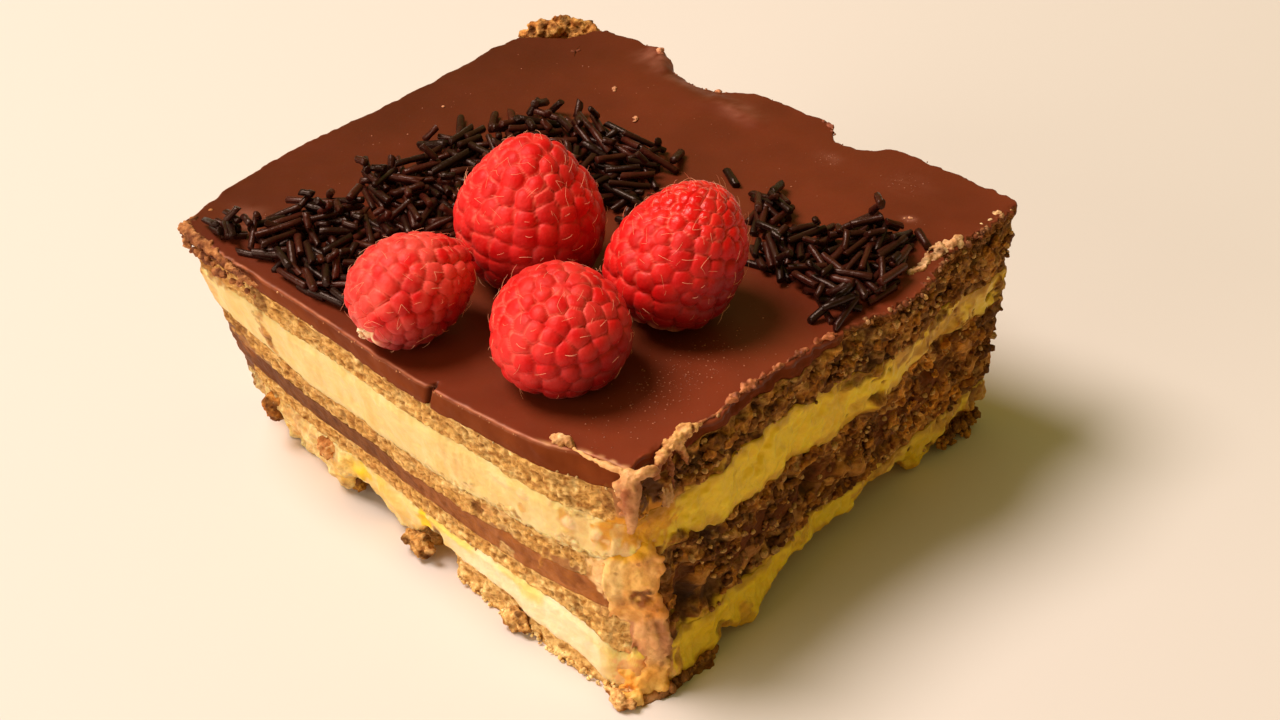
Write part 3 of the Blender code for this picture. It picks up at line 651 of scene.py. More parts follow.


# places where the cut faces are smeared, torn or stained, with painted shade in the torn pits and on custard lying in
# shade; later ones lie on top
PATCHES = [
    # front, from the left
    F(-42, 33.5, 4.5, 3.0, "bran", .8, -.2), F(-39, 31.5, 2.5, 1.6, "tan", .8), F(-43.5, 26, 2.2, 5.0, "orange", .35),
    F(-41, 20.5, 5.0, 2.2, "bran", .55), F(-43, 13.5, 2.5, 5.5, "mauve", .9, .2), F(-38.5, 17.0, 3.0, 1.8, "mauve", .75),
    F(-42.5, 8.0, 2.2, 3.4, "mauve", .8), F(-34.5, 15.5, 3.0, 2.4, "cocoa", .7), F(-41, 4, 2.5, 2.5, "bran", .9, .5),
    F(-28.9, 26.6, 1.3, 3.0, "tan", .9, .25, .2), F(-28.2, 25.6, .7, 1.5, "bran", .45), F(-29.9, 29.0, .9, 1.4, "crumb", .6), F(-28.6, 33.6, 1.9, 2.6, "bran", .6, .1), F(-27.0, 35.0, .9, .8, "dark", .35, -.2),
    F(-34, 33, 2.2, 1.0, "tan", .5),
    F(-34, 6.4, 4.0, 2.6, "yolk", .7, .35), F(-33.5, 8.8, 3.5, 1.3, "crumb", .7), F(-29, 5.0, 1.2, 3.6, "orange", .5, -.2),
    F(-25.2, 3.0, 2.2, 2.2, "yolk", .9, .7), F(-21.0, 4.6, 4.2, 2.4, "yolk", .8, .75, .5), F(-15.2, 7.4, 3.2, 1.5, "custard_in_painted_shade", .9, .1),
    F(-17.5, 2.4, 2.8, 1.1, "bran", .9, -.4, .5), F(-16.5, 1.2, 2.2, .8, "dark", .7, -.5, .5),
    F(-6.2, 5.6, 3.6, 2.8, "yolk", .9, .6), F(-8.0, 8.6, 2.6, 1.0, "orange", .25), F(1.2, 7.6, 1.4, 1.7, "custard_in_painted_shade", 1.0, -.3),
    F(4.4, 6.6, 1.1, 1.2, "dark", .8, -.5), F(4.0, 8.6, 1.6, 1.0, "orange", .4),
    F(-42.5, 12.0, 2.6, 6.5, "cocoa", .75, -.5), F(-42.0, 5.5, 3.4, 4.0, "bran", .95, -.2), F(-38.6, 5.6, 1.5, 3.0, "tan", .8, -.3), F(-36.0, 2.2, 2.0, 1.6, "custard_in_painted_shade", .6, -.2),
    F(-35.0, 8.6, 1.4, 1.0, "bran", .7), F(-29.8, 8.2, 2.2, 1.1, "tan", .8, .2), F(-31.6, 2.0, 3.4, 1.0, "orange", .55), F(-24.4, 7.6, 2.6, .9, "orange", .5),
    F(-17.4, 6.2, 3.2, 1.5, "custard_in_painted_shade", 1.0, .1), F(-20.0, 6.8, 1.6, .8, "pale", .6, .2), F(-14.9, 3.2, 2.7, 2.0, "dark", .95, -1.6), F(-18.0, 2.8, 1.2, 1.4, "custard_in_painted_shade", .9, -.4),
    # front, middle and right
    F(13, 25.5, 1.0, 2.6, "orange", .28), F(10.6, 28, .8, 2.0, "orange", .18), F(22, 28.6, 1.8, 1.0, "pale", .35, .2),
    F(25.2, 26.0, .6, .8, "gold", .55, -.12), F(25.8, 28.3, 1.2, .8, "pale", .5, .2), F(32.3, 28.2, .8, 1.0, "gold", .6, -.15), F(30.4, 29.2, .5, .5, "pale", .6, .2),
    F(34.4, 26.8, 2.4, 1.5, "orange", .30), F(20.0, 24.6, 3.0, 1.4, "orange", .12), F(34.5, 29.2, 2.2, .8, "crumb", .6), F(33.2, 27.0, .8, .8, "pale", .6, .3), F(38.8, 25.6, 1.0, 1.3, "gold", .8, -.4), F(37.4, 26.6, .8, .8, "pale", .8, .4),
    F(36.8, 25.8, .7, 1.2, "peach", .8, .3), F(40.4, 25.5, .8, 2.2, "peach", .7, .35), F(33.5, 24.2, 3.0, .8, "peach", .35),
    F(20.4, 21.6, 1.0, .8, "peach", .5, .2), F(15.1, 19.0, .8, 1.2, "bran", .9, -.6), F(17.2, 20.0, .8, .6, "orange", .5),
    F(27.8, 17.8, .35, 2.4, "tan", .7, .2, -.35), F(13, 15.2, 5.5, 1.6, "mauve", .55), F(21.5, 16.6, 3.4, 1.8, "mauve", .8, .1),
    F(31.6, 17.2, 3.2, 1.9, "mauve", .85, .1), F(20.2, 14.6, 1.4, .9, "crumb", .6), F(36.2, 17.0, 1.6, 1.6, "mauve", .7),
    F(37.4, 19.6, 1.3, 2.6, "peach", .7, .35), F(38.4, 14.2, 1.5, 1.4, "mauve", .5), F(40.5, 33.0, 1.0, 2.8, "mauve", .9, .2), F(38.6, 33.2, 1.0, 1.6, "bran", .5),
    # right, from the front corner
    R(-34.6, 3.6, .8, 2.6, "tan", .7), R(-37.4, 33.2, 3.0, 3.6, "smoke", .95, .0), R(-38.6, 34.0, .8, 3.0, "dark", .5, -.3),
    R(-33.6, 30.2, 2.4, 1.4, "tan", .9, .25), R(-33.8, 33.6, .8, 3.4, "tan", .7, .3), R(-31.6, 33.4, .9, 2.6, "bran", .9, .2),
    R(-30.4, 27.6, 2.8, 1.8, "custard_in_painted_shade", .6), R(-32.0, 23.0, 2.0, .9, "bran", .9, .2, -.4), R(-25.6, 32.0, 1.6, 1.6, "custard_in_painted_shade", .35),
    R(-21.8, 27.5, .8, .9, "bran", .45, -.15), R(-31.6, 12.5, 2.0, 4.4, "dark", .95, -1.5), R(-33.0, 8.5, .9, 2.2, "custard_in_painted_shade", .4),
    R(-26.6, 11.2, 1.6, 1.6, "dark", .7, -.8), R(-28.2, 14.6, 1.3, 1.2, "tan", .8, .5), R(-22.0, 16.6, 4.0, 1.2, "cocoa", .8),
    R(-16.0, 15.5, 4.5, 1.4, "cocoa", .6), R(-21.5, 12.4, 2.2, 1.2, "bran", .8, .4), R(-17.5, 11.6, 2.5, 1.2, "mauve", .55, .2),
    R(-10.5, 18.4, 2.4, 1.3, "tan", .5, .3), R(-8.0, 13.6, 3.2, 2.4, "cocoa", .6, -.1), R(-3.2, 15.2, 2.1, 2.1, "dark", 1.0, -1.6),
    R(-1.2, 12.2, 1.3, 2.6, "mauve", .6, .4, -.5), R(3.6, 13.6, 2.2, 1.6, "tan", .8, .8), R(7.0, 12.4, 1.6, 1.8, "tan", .9, 1.0),
    R(7.4, 15.1, 1.4, .6, "dark", .7, -.5), R(5.4, 10.0, 2.0, .8, "bran", .8, .3), R(1.0, 17.2, 1.4, 2.0, "bran", .8, .3),
    R(5.6, 29.0, 3.6, 1.3, "bran", .8, .3), R(1.0, 25.5, 2.2, 3.4, "tan", .2), R(6.0, 23.6, 2.0, 1.6, "tan", .35), R(10.2, 22.4, 2.6, 1.5, "bran", .9, .4),
    R(9.2, 29.4, 1.8, 1.5, "bran", .7, .3), R(14.5, 28.2, 1.8, 1.8, "tan", .55), R(19.8, 29.4, 3.0, 1.6, "bran", .9, .3), R(24.6, 27.8, 2.4, 1.0, "bran", .75, .3),
    R(19.0, 26.0, 3.5, 1.2, "tan", .5), R(27.0, 25.0, 5.0, 1.6, "tan", .55), R(34.0, 27.6, 3.6, 1.2, "tan", .55), R(31.0, 30.0, 2.4, .9, "bran", .6, .2),
    R(41.5, 24.0, 2.2, 1.8, "bran", .7, .2), R(16.0, 14.4, 4.5, 3.0, "cocoa", .85, -.1), R(24.0, 14.6, 4.4, 2.6, "cocoa", .8, -.1),
    R(20.4, 12.0, 3.2, 1.5, "mauve", .45), R(24.5, 18.4, 2.6, 1.0, "dark", .5, -.5), R(33.6, 18.0, 2.6, 1.4, "tan", .7, .4, -.6),
    R(36.5, 14.2, 2.0, 2.2, "tan", .7, .5), R(31.5, 12.2, 2.2, 1.2, "tan", .65, .3), R(39.8, 17.6, 1.8, 2.6, "bran", .9, .2),
    R(40.5, 10.8, 2.4, 2.0, "tan", .8, .4), R(36.4, 9.6, 2.4, 1.2, "bran", .9, .2), R(37.5, 20.8, 2.8, 1.4, "dark", .5, -.4),
    R(42.0, 31.6, 2.0, 3.2, "bran", .9, .1), R(22.6, 4.6, 1.6, 1.5, "custard_in_painted_shade", .9, .5), R(24.4, 1.8, 1.3, 1.6, "custard_in_painted_shade", 1.0, .6),
    R(-26.6, 6.6, 5.0, 2.2, "custard_in_painted_shade", .8, .2), R(-15.0, 6.6, 4.5, 1.8, "custard_in_painted_shade", .6, .1), R(-19.8, 2.8, 1.1, 1.6, "tan", .7, .4), R(-24.6, 3.4, 1.6, 1.0, "dark", .7, -.7),
    R(-9.0, 9.0, 3.0, 1.1, "bran", .5, .2), R(2.0, 8.2, 5.0, 1.0, "bran", .7, .1), R(10.0, 8.6, 4.0, 1.2, "bran", .7, .1), R(14.0, 6.0, 6.0, .9, "tan", .6, .1),
    R(30.5, 6.6, 3.6, 1.0, "tan", .6, .1), R(38.6, 5.4, 3.4, 1.8, "tan", .7, .4), R(-5.5, 6.2, 3.6, 1.0, "tan", .6, .1),
    # round the front upright
    # the gold patch under the tongue's end is custard painted deeper as the tongue's shadow
    C(43.8, -39.0, 27.6, 6.0, 3.4, "gold", .92), C(41.8, -40.6, 19.6, 4.6, 4.8, "peach", .9), C(44.8, -36.8, 17.0, 3.4, 5.6, "bran", .85),
    C(42.6, -41.4, 17.4, 2.4, 1.3, "bran", .9, -.4), C(44.8, -38.4, 10.0, 3.2, 5.6, "mauve", .9), C(41.2, -42.0, 12.0, 2.4, 2.4, "crumb", .7),
    C(43.2, -41.8, 8.9, 2.6, 1.5, "crumb", .95), C(43.6, -41.4, 3.2, 3.2, 3.4, "foot", .9), C(45.6, -37.6, 2.2, 2.4, 2.2, "foot", .7),
]


def apply_patches(p, u, tint, grain, n):
    """blend the patches in; gives tint, grain and how far each stands out"""
    push = np.zeros(u.shape)
    wob = .34 * noise(p, 1.5, 711) + .40 * noise(p, .75, 713)
    for side, a, z, ra, rz, look, k, out, turn in PATCHES:
        if side == "corner":
            along = np.hypot(p[..., 0] - a[0], p[..., 1] - a[1])
            near = (along < 2.2 * ra) & (np.abs(p[..., 2] - z) < 2.2 * rz)
            if near.any():
                d = np.sqrt((along[near] / ra) ** 2 + ((p[..., 2][near] - z) / rz) ** 2)
                w = smooth_step((1.08 - d + wob[near]) / .42 + .5)
                one, two, g = LOOKS[look]
                tint[near] = lerp(tint[near], lerp(one, two, n[near]), k * w)
                grain[near] = grain[near] * (1 - k * w) + g * k * w
                push[near] += out * smooth_step(1.25 - d + .5 * wob[near])
            continue
        first = side == "front"
        on = ((u >= 0) & (u < 1.004)) | (u > 3.96) if first else (u >= .992) & (u < 2.03)
        along = p[..., 0] if first else p[..., 1]
        near = on & (np.abs(along - a) < 2.2 * max(ra, rz)) & (np.abs(p[..., 2] - z) < 2.2 * max(ra, rz))
        if not near.any():
            continue
        da, dz = along[near] - a, p[..., 2][near] - z
        c, s = math.cos(turn), math.sin(turn)
        d = np.sqrt(((da * c + dz * s) / ra) ** 2 + ((dz * c - da * s) / rz) ** 2)
        w = smooth_step((1.08 - d + wob[near]) / .42 + .5)
        one, two, g = LOOKS[look]
        tone = lerp(one, two, n[near])
        tint[near] = lerp(tint[near], tone, k * w)
        grain[near] = grain[near] * (1 - k * w) + g * k * w
        push[near] += out * smooth_step(1.25 - d + .5 * wob[near])
    return push


def far_band(y, z):
    """1 in the paler middle of the far half of the right side"""
    return smooth_step((y - 13) / 5) * smooth_step((37 - y) / 5) * smooth_step((25 - z) / 3)


def surface(kind, p, u, k):
    """tint, grain and stand-out of a layer's cut face"""
    right = smooth_step((u - .985) / .03) * smooth_step((2.01 - u) / .03)
    n1 = fbm(p, 3.0, 3, 101 + k)
    n2 = fbm(p, 1.1, 3, 201 + k)
    n3 = np.clip(.5 + .6 * fbm(p, 1.9, 2, 301), 0, 1)
    grain = np.zeros(u.shape)
    if kind == "biscuit":
        c = lerp(TAN, TAN_LIGHT, np.clip(.5 * n1 + .4 * n2 + .1, 0, 1))
        c = lerp(c, TAN_DARK, np.clip(-.6 * n2 - .25, 0, .7))
        # painted shade: biscuit on the right side is darkened to the shaded tan and deep brown
        c = lerp(c, lerp(TAN_PAINTED_SHADE, BROWN_DEEP, np.clip(.45 + .9 * fbm(p, 2.0, 3, 55), 0, 1)), right * np.clip(.85 + .4 * n2, 0, 1))
        grain += 1.0
    elif kind == "custard":
        c = lerp(YOLK, YOLK_DEEP, np.clip(.30 * n1 + .06, 0, 1))
        c = lerp(c, YOLK_PALE, np.clip(-.5 * n1 + .3 * n2 - .05, 0, .6) * (1 - right))
        # painted shade: custard on the right side takes the shaded tint
        c = lerp(c, YOLK_PAINTED_SHADE, right * .92)
        far = right * smooth_step((p[..., 1] - 10) / 6)
        c = lerp(c, colour(240, 190, 84), far * np.clip(.55 + .5 * n1, 0, 1))
        spots = np.clip((noise(p, .75, 301) - .66) * 5, 0, 1) * (.05 - .04 * right)
        c = lerp(c, TAN_DARK, spots)
        torn = right * smooth_step((fbm(p, 1.7, 3, 331) - (1.1 - .66 * smooth_step((p[..., 1] - 2) / 8))) / .25)
        c = lerp(c, lerp(TAN_DARK, BROWN, n3), torn * .85)
        grain += torn * .9
    else:
        c = lerp(COCOA, COCOA_LIGHT, np.clip(.35 * n1 + .55 * smooth_step((p[..., 0] - 2) / 26) * (1 - right) + .05, 0, 1))
        c = lerp(c, colour(190, 120, 72), (.45 + .15 * smooth_step((p[..., 0] - 10) / 20)) * (1 - right) * np.clip(.7 + .6 * n2, 0, 1))
        c = lerp(c, COCOA * .6, right * np.clip(.45 + .6 * n1, 0, .9))
        c = c * (1 - .36 * (1 - right) * smooth_step((2 - p[..., 0]) / 11) * smooth_step((-16 - p[..., 1]) / 14))[..., None]
        torn = np.clip((noise(p, .8, 311) - .50) * 4, 0, 1) * .15 + right * smooth_step((fbm(p, 2.2, 3, 341) + .05) / .25)
        c = lerp(c, lerp(TAN_DARK, BROWN, n3), np.clip(torn, 0, .95))
        grain += .12 + .85 * np.clip(torn, 0, 1)
    if kind != "custard":
        c = c * (1 + .55 * right * far_band(p[..., 1], p[..., 2]))[..., None]
    push = apply_patches(p, u, c, grain, n3)
    return c, grain, push


# ------------------------------------------------------------------ layers
def corner(p):
    """the front upright is blunt below the top biscuit"""
    x, y, z = p[..., 0], p[..., 1], p[..., 2]
    low = smooth_step((31 - z) / 4) * (.55 + .45 * smooth_step(z / 4))
    near = np.hypot(x - 43.4, y + 41.8)
    return (-2.5 * low * np.exp(-(near / 3.3) ** 2))[..., None] * np.array([.66, -.75, 0])


def ridge(p, u):
    """edge of the smear, where the right side drops back behind it"""
    low = smooth_step((26 - p[..., 2]) / 4)
    return .8 * low * np.exp(-((p[..., 1] + 35.4) / 1.5) ** 2) * smooth_step((u - 1) / .01) * smooth_step((2 - u) / .1)


def crumb_relief(p, grain, right, rest, seed):
    """pores and grains where the crumb is open, and how deep in a hollow each point lies, which is painted as shade"""
    front = 1 - right - rest
    f1, _, _ = cells(p, 1.05, 60 + seed)
    big, edge, _ = cells(p + .7 * noise(p, 1.2, 66)[..., None], 2.9, 64)
    g2 = fbm(p, .75, 2, 80 + seed)
    lumps = noise(p, 2.2, 90 + seed)
    d = (.64 * front + .45 * right + .42 * rest) * (.5 - f1) + (.20 + .06 * front + .16 * right) * g2
    pit = smooth_step((big - .42) / .35)
    d = d + right * (.50 * np.maximum(lumps - .1, 0) - .45 * np.maximum(-lumps - .2, 0) + .75 * (.5 - big) - .5 * pit)
    shade = (1 - right) * np.clip(.9 * (f1 - .50) - .5 * g2 - .05, 0, .5) + right * np.clip(.85 * pit + .5 * np.maximum(-lumps - .15, 0) + .35 * (f1 - .45), 0, 1)
    return d * grain, shade * grain


def cut(name, k, kind, rows, offset, nodes, mat):
    """one layer between seams k and k + 1: cut face, folded in above and below"""
    q = np.linspace(0, 1, rows)[:, None]
    low = EDGE if k == 1 else SEAM_Z[k]
    high = SEAM_Z[k + 1]
    low = np.minimum(low, high - 1.6)
    z = low + (high - low) * q
    base = face_point(UC, z)
    u = UC + 0 * z
    right, front = RIGHT_W + 0 * z, FRONT_W + 0 * z
    rest = 1 - right - front
    window = smooth_step(np.minimum(q, 1 - q) / .16) + 0 * z
    tint, grain, push = surface(kind, base, u, k)
    d = common(base, u) + ridge(base, u) + push + offset * window * (1 - .5 * right)
    relief, shade = crumb_relief(base, grain, right, rest, 1)
    d = d + relief * (.45 + .55 * window)
    # painted shade: open crumb is darkened where it lies deep in a pore or pit
    tint = lerp(tint * (1 + .12 * right * grain)[..., None], PIT_PAINTED_SHADE * .8, .75 * shade)
    if k == 5:
        drag = front * smooth_step((base[..., 0] + 6) / 20) * smooth_step((.20 - q + .22 * noise(base, 1.3, 381)) / .08)
        tint = lerp(tint, lerp(TAN, colour(255, 226, 176), np.clip(.5 + noise(base, .8, 383), 0, 1)), .6 * drag)
        grain = np.maximum(grain, .8 * drag)
        d = d + .25 * drag * noise(base, .8, 385)
    if kind == "custard":
        streak = front * fbm(base * [1, 1, .30], 1.5, 3, 387)
        tint = lerp(tint, lerp(YOLK_DEEP, PEACH, .35) * 1.0, np.clip(.5 * streak - .08, 0, .2))
        tint = lerp(tint, YOLK_PALE * 1.05, np.clip(-.5 * streak - .08, 0, .25))
        d = d + front * .10 * streak
    if kind == "custard":
        rim = right * smooth_step((np.abs(q - .5) + .10 * noise(base, 2.0, 391) - .30) / .16)
        tint = lerp(tint, lerp(colour(206, 132, 30), colour(176, 120, 22), q), .62 * rim)
        warm = right * np.exp(-((base[..., 1] + 12) / 14) ** 2) * (1 - rim)
        tint = lerp(tint, colour(255, 206, 14), .45 * warm)
        if k == 1:
            rubble = front * smooth_step((-14 - base[..., 0] + 2 * noise(base, 2.5, 393)) / 4)
            lump = fbm(base, 1.5, 3, 395)
            d = d + rubble * .40 * lump
            tint = lerp(tint, lerp(TAN, YOLK_PALE, np.clip(.6 + 1.2 * lump, 0, 1)), .55 * rubble)
            grain = np.maximum(grain, .45 * rubble)
        d = d + window * (.08 * front + .20 * right + .15 * rest) * fbm(base * [1, 1, .6], 3.4, 3, 120 + k)
        d = d + right * window * .22 * noise(base, 1.2, 130 + k)
        if k == 1:
            hang = smooth_step((-2 - base[..., 0]) / 6) * front
            d = d + hang * .9 * fbm(base, 3.0, 2, 137) * (1 - q) ** .5
            d = d + .5 * (1 - q) ** 2 * (.4 + .8 * noise(base, 2.4, 133))
    elif kind == "cream":
        d = d + window * (.06 * front + .30 * right + .15 * rest) * fbm(base, 2.2, 3, 140 + k)
    pts = face_point(UC, z, d) + corner(base)
    if k == 1:
        d = d - front * (1.1 * smooth_step((-19 - base[..., 0]) / 4) * smooth_step((6 - z) / 4) + .6 * smooth_step((-37 - base[..., 0]) / 3))
        pts = face_point(UC, z, d) + corner(base)
        plain = front * (1 - np.clip(grain * 2, 0, 1)) * smooth_step((base[..., 0] - 4) / 8) * smooth_step((40 - base[..., 0]) / 4)
        tint = lerp(tint, colour(250, 226, 188), .8 * plain)
        tinge = front * smooth_step((q - .66 + .25 * noise(base, 2.6, 397)) / .3) * smooth_step((base[..., 0] + 12) / 4) * np.clip(.45 + 1.2 * noise(base, 5.0, 399), .1, 1)
        tint = lerp(tint, colour(240, 206, 84), .75 * tinge)
    rows_p, rows_t, rows_g = [pts], [tint], [grain]
    for side, zz in ((0, low), (1, high)):
        edge = pts[0 if side == 0 else -1]
        inner = []
        ref = face_point(UC, zz, 0.0, wide=True)
        for depth in (.8, 4.0):
            inward = face_point(UC, zz, -depth, wide=True) - ref
            lift = (.15 * depth if k == 1 else .12) if side == 0 else -.02
            inner.append((edge + inward + [0, 0, lift])[None])
        tone, gr = tint[0 if side == 0 else -1][None], grain[0 if side == 0 else -1][None]
        if side == 0:
            rows_p, rows_t, rows_g = inner[::-1] + rows_p, [tone] * 2 + rows_t, [gr] * 2 + rows_g
        else:
            rows_p, rows_t, rows_g = rows_p + inner, rows_t + [tone] * 2, rows_g + [gr] * 2
    return closed_grid(name, rows_p, rows_t, rows_g, nodes, mat)


def closed_grid(name, rows_p, rows_t, rows_g, nodes, mat):
    grid, tone, gr = np.concatenate(rows_p), np.concatenate(rows_t), np.concatenate(rows_g)
    n = grid.shape[0]
    c = n * NC
    points = np.vstack([grid.reshape(-1, 3), [[0, 0, grid[0, :, 2].mean()], [0, 0, grid[-1, :, 2].mean()]]])
    tones = np.vstack([tone.reshape(-1, 3), tone[0, :1], tone[-1, :1]])
    grains = np.r_[gr.ravel(), 0, 0]
    j = np.arange(NC)
    kx = (j + 1) % NC
    faces = np.vstack([tris(grid_faces(n, NC)), np.stack([kx, j, np.full(NC, c)], 1),
                       np.stack([(n - 1) * NC + j, (n - 1) * NC + kx, np.full(NC, c + 1)], 1)])
    points[:, 2] = np.maximum(points[:, 2], 0)
    return wear(make(name, points, faces, tones, extra={"grain": grains}, materials=[mat]), nodes)


cut("custard_lower_look", 1, "custard", 26, .40, ["custard_lower"], CUSTARD)
cut("biscuit_lower_look", 2, "biscuit", 20, -.12, ["biscuit_lower"], BISCUIT)
cut("chocolate_cream_look", 3, "cream", 17, -.05, ["chocolate_cream"], CREAM)
cut("biscuit_middle_look", 4, "biscuit", 21, -.12, ["biscuit_middle"], BISCUIT)
cut("custard_upper_look", 5, "custard", 30, .35, ["custard_upper"], CUSTARD)
cut("biscuit_top_look", 6, "biscuit", 24, -.12, ["biscuit_top"], BISCUIT)


def base_layer():
    """the bottom biscuit: broken back in places, ragged where it shows"""
    x, y = _p[:, 0], _p[:, 1]
    recess = 1.0 - 1.3 * FRONT_W * smooth_step((x - 4) / 4) + .5 * FRONT_W * smooth_step((x - 34) / 4) * smooth_step((43 - x) / 2) + FRONT_W * (5.2 * smooth_step((-9 - x) / 3) + 4.0 * np.exp(-((x - 2.6) / 2.6) ** 4))
    recess += RIGHT_W * (4.2 * smooth_step((y + 27) / 5) * smooth_step((34 - y) / 5)) + HIDDEN_W * .6
    rows = 20
    q = np.linspace(0, 1, rows)[:, None]
    z = np.maximum(EDGE, 2.2 - 1.3 * FRONT_W * smooth_step((x - 33) / 4)) * q + .3 * q
    base = face_point(UC, z)
    pile = RIGHT_W * smooth_step((-25 - y) / 4) * 2.2
    d = -recess + pile * (1 - q) ** 1.2
    f1, _, _ = cells(base, 1.15, 71)
    d = d + .5 * (.5 - f1) + .55 * fbm(base, 2.8, 3, 73) + .25 * fbm(base, .8, 2, 74) - .5 * q * q
    pts = face_point(UC, z, d, wide=True) + .6 * corner(base)
    tint, grain, _ = surface("biscuit", base, UC + 0 * z, 0)
    right = RIGHT_W + 0 * z
    # painted shade: the base is browner on the right side, where it lies recessed in shade
    tint = lerp(tint, BROWN, right * .5)
    tint = lerp(tint, TAN_LIGHT, .55 * (FRONT_W + 0 * z) * np.clip(.6 + noise(base, 1.4, 75), 0, 1))
    inner_low = face_point(UC, 0 * EDGE, d[0] - 3, wide=True)
    inner_high = face_point(UC, z[-1], d[-1] - 3, wide=True)
    return closed_grid("biscuit_base_look", [inner_low[None], pts, inner_high[None]], [tint[:1], tint, tint[-1:]],
                       [grain[:1], grain, grain[-1:]], ["biscuit_base"], BISCUIT)


base_layer()


def glaze_height(x, y):
    """sag, press marks and faint waves of the glaze's top"""
    p = np.stack([x, y, np.zeros_like(x)], -1)
    z = .10 * noise(p, 16, 401) + .05 * noise(p, 6, 402)
    z = z - 1.5 * np.exp(-((x + 14.5) / 8.0) ** 2 - ((y - 41.5) / 4.6) ** 2)
    z = z - .7 * np.exp(-((x - 14.8) / 4.5) ** 2 - ((y - 42) / 3.0) ** 2)
    for (ax, ay), (bx, by), high, wide in (((-25, 42.0), (-20.0, 38.0), .55, 1.1), ((-19.5, 36.5), (-8, 33.5), .30, 1.8), ((-8.0, 36), (1.0, 34.5), .45, 1.4)):
        t = np.clip(((x - ax) * (bx - ax) + (y - ay) * (by - ay)) / ((bx - ax) ** 2 + (by - ay) ** 2), 0, 1)
        d = np.hypot(x - ax - t * (bx - ax), y - ay - t * (by - ay))
        z = z + high * np.exp(-(d / wide) ** 2)
    return z


def glaze_tone(r):
    c = lerp(GLAZE_RED, GLAZE_RED * 1.15, np.clip(.5 + .5 * fbm(r, 5.0, 2, 443), 0, 1))
    # painted sheen: darker towards the left and back, lighter towards the front right, where the broad reflection of
    # the light lies
    c = c * (np.interp(r[..., 0], [-42, -22, 0, 42], [.62, .86, .92, 1.10]) * np.interp(r[..., 1], [-40, 0, 40], [1.06, 1.0, .93]))[..., None]
    # paler places near the back edge and the corners: painted highlights on the pressed ridges by the back edge, pale
    # smudges elsewhere
    for cx, cy, rx, ry, k in ((-3, 35.5, 3.5, 2.0, .30), (-23, 40, 2.4, 2.6, .35), (-17, 36.8, 5, 1.2, .18), (15.3, 34.2, 1.8, 1.4, .14),
                              (28.5, 36, 3.5, 2.5, .08), (-37, -33, 3.2, 2.6, .30), (34, 29, .9, .7, .5)):
        w = np.exp(-((r[..., 0] - cx) / rx) ** 2 - ((r[..., 1] - cy) / ry) ** 2) * np.clip(.6 + .8 * fbm(r, 1.1, 2, 447), 0, 1)
        c = lerp(c, colour(206, 134, 112), k * w)
    return c


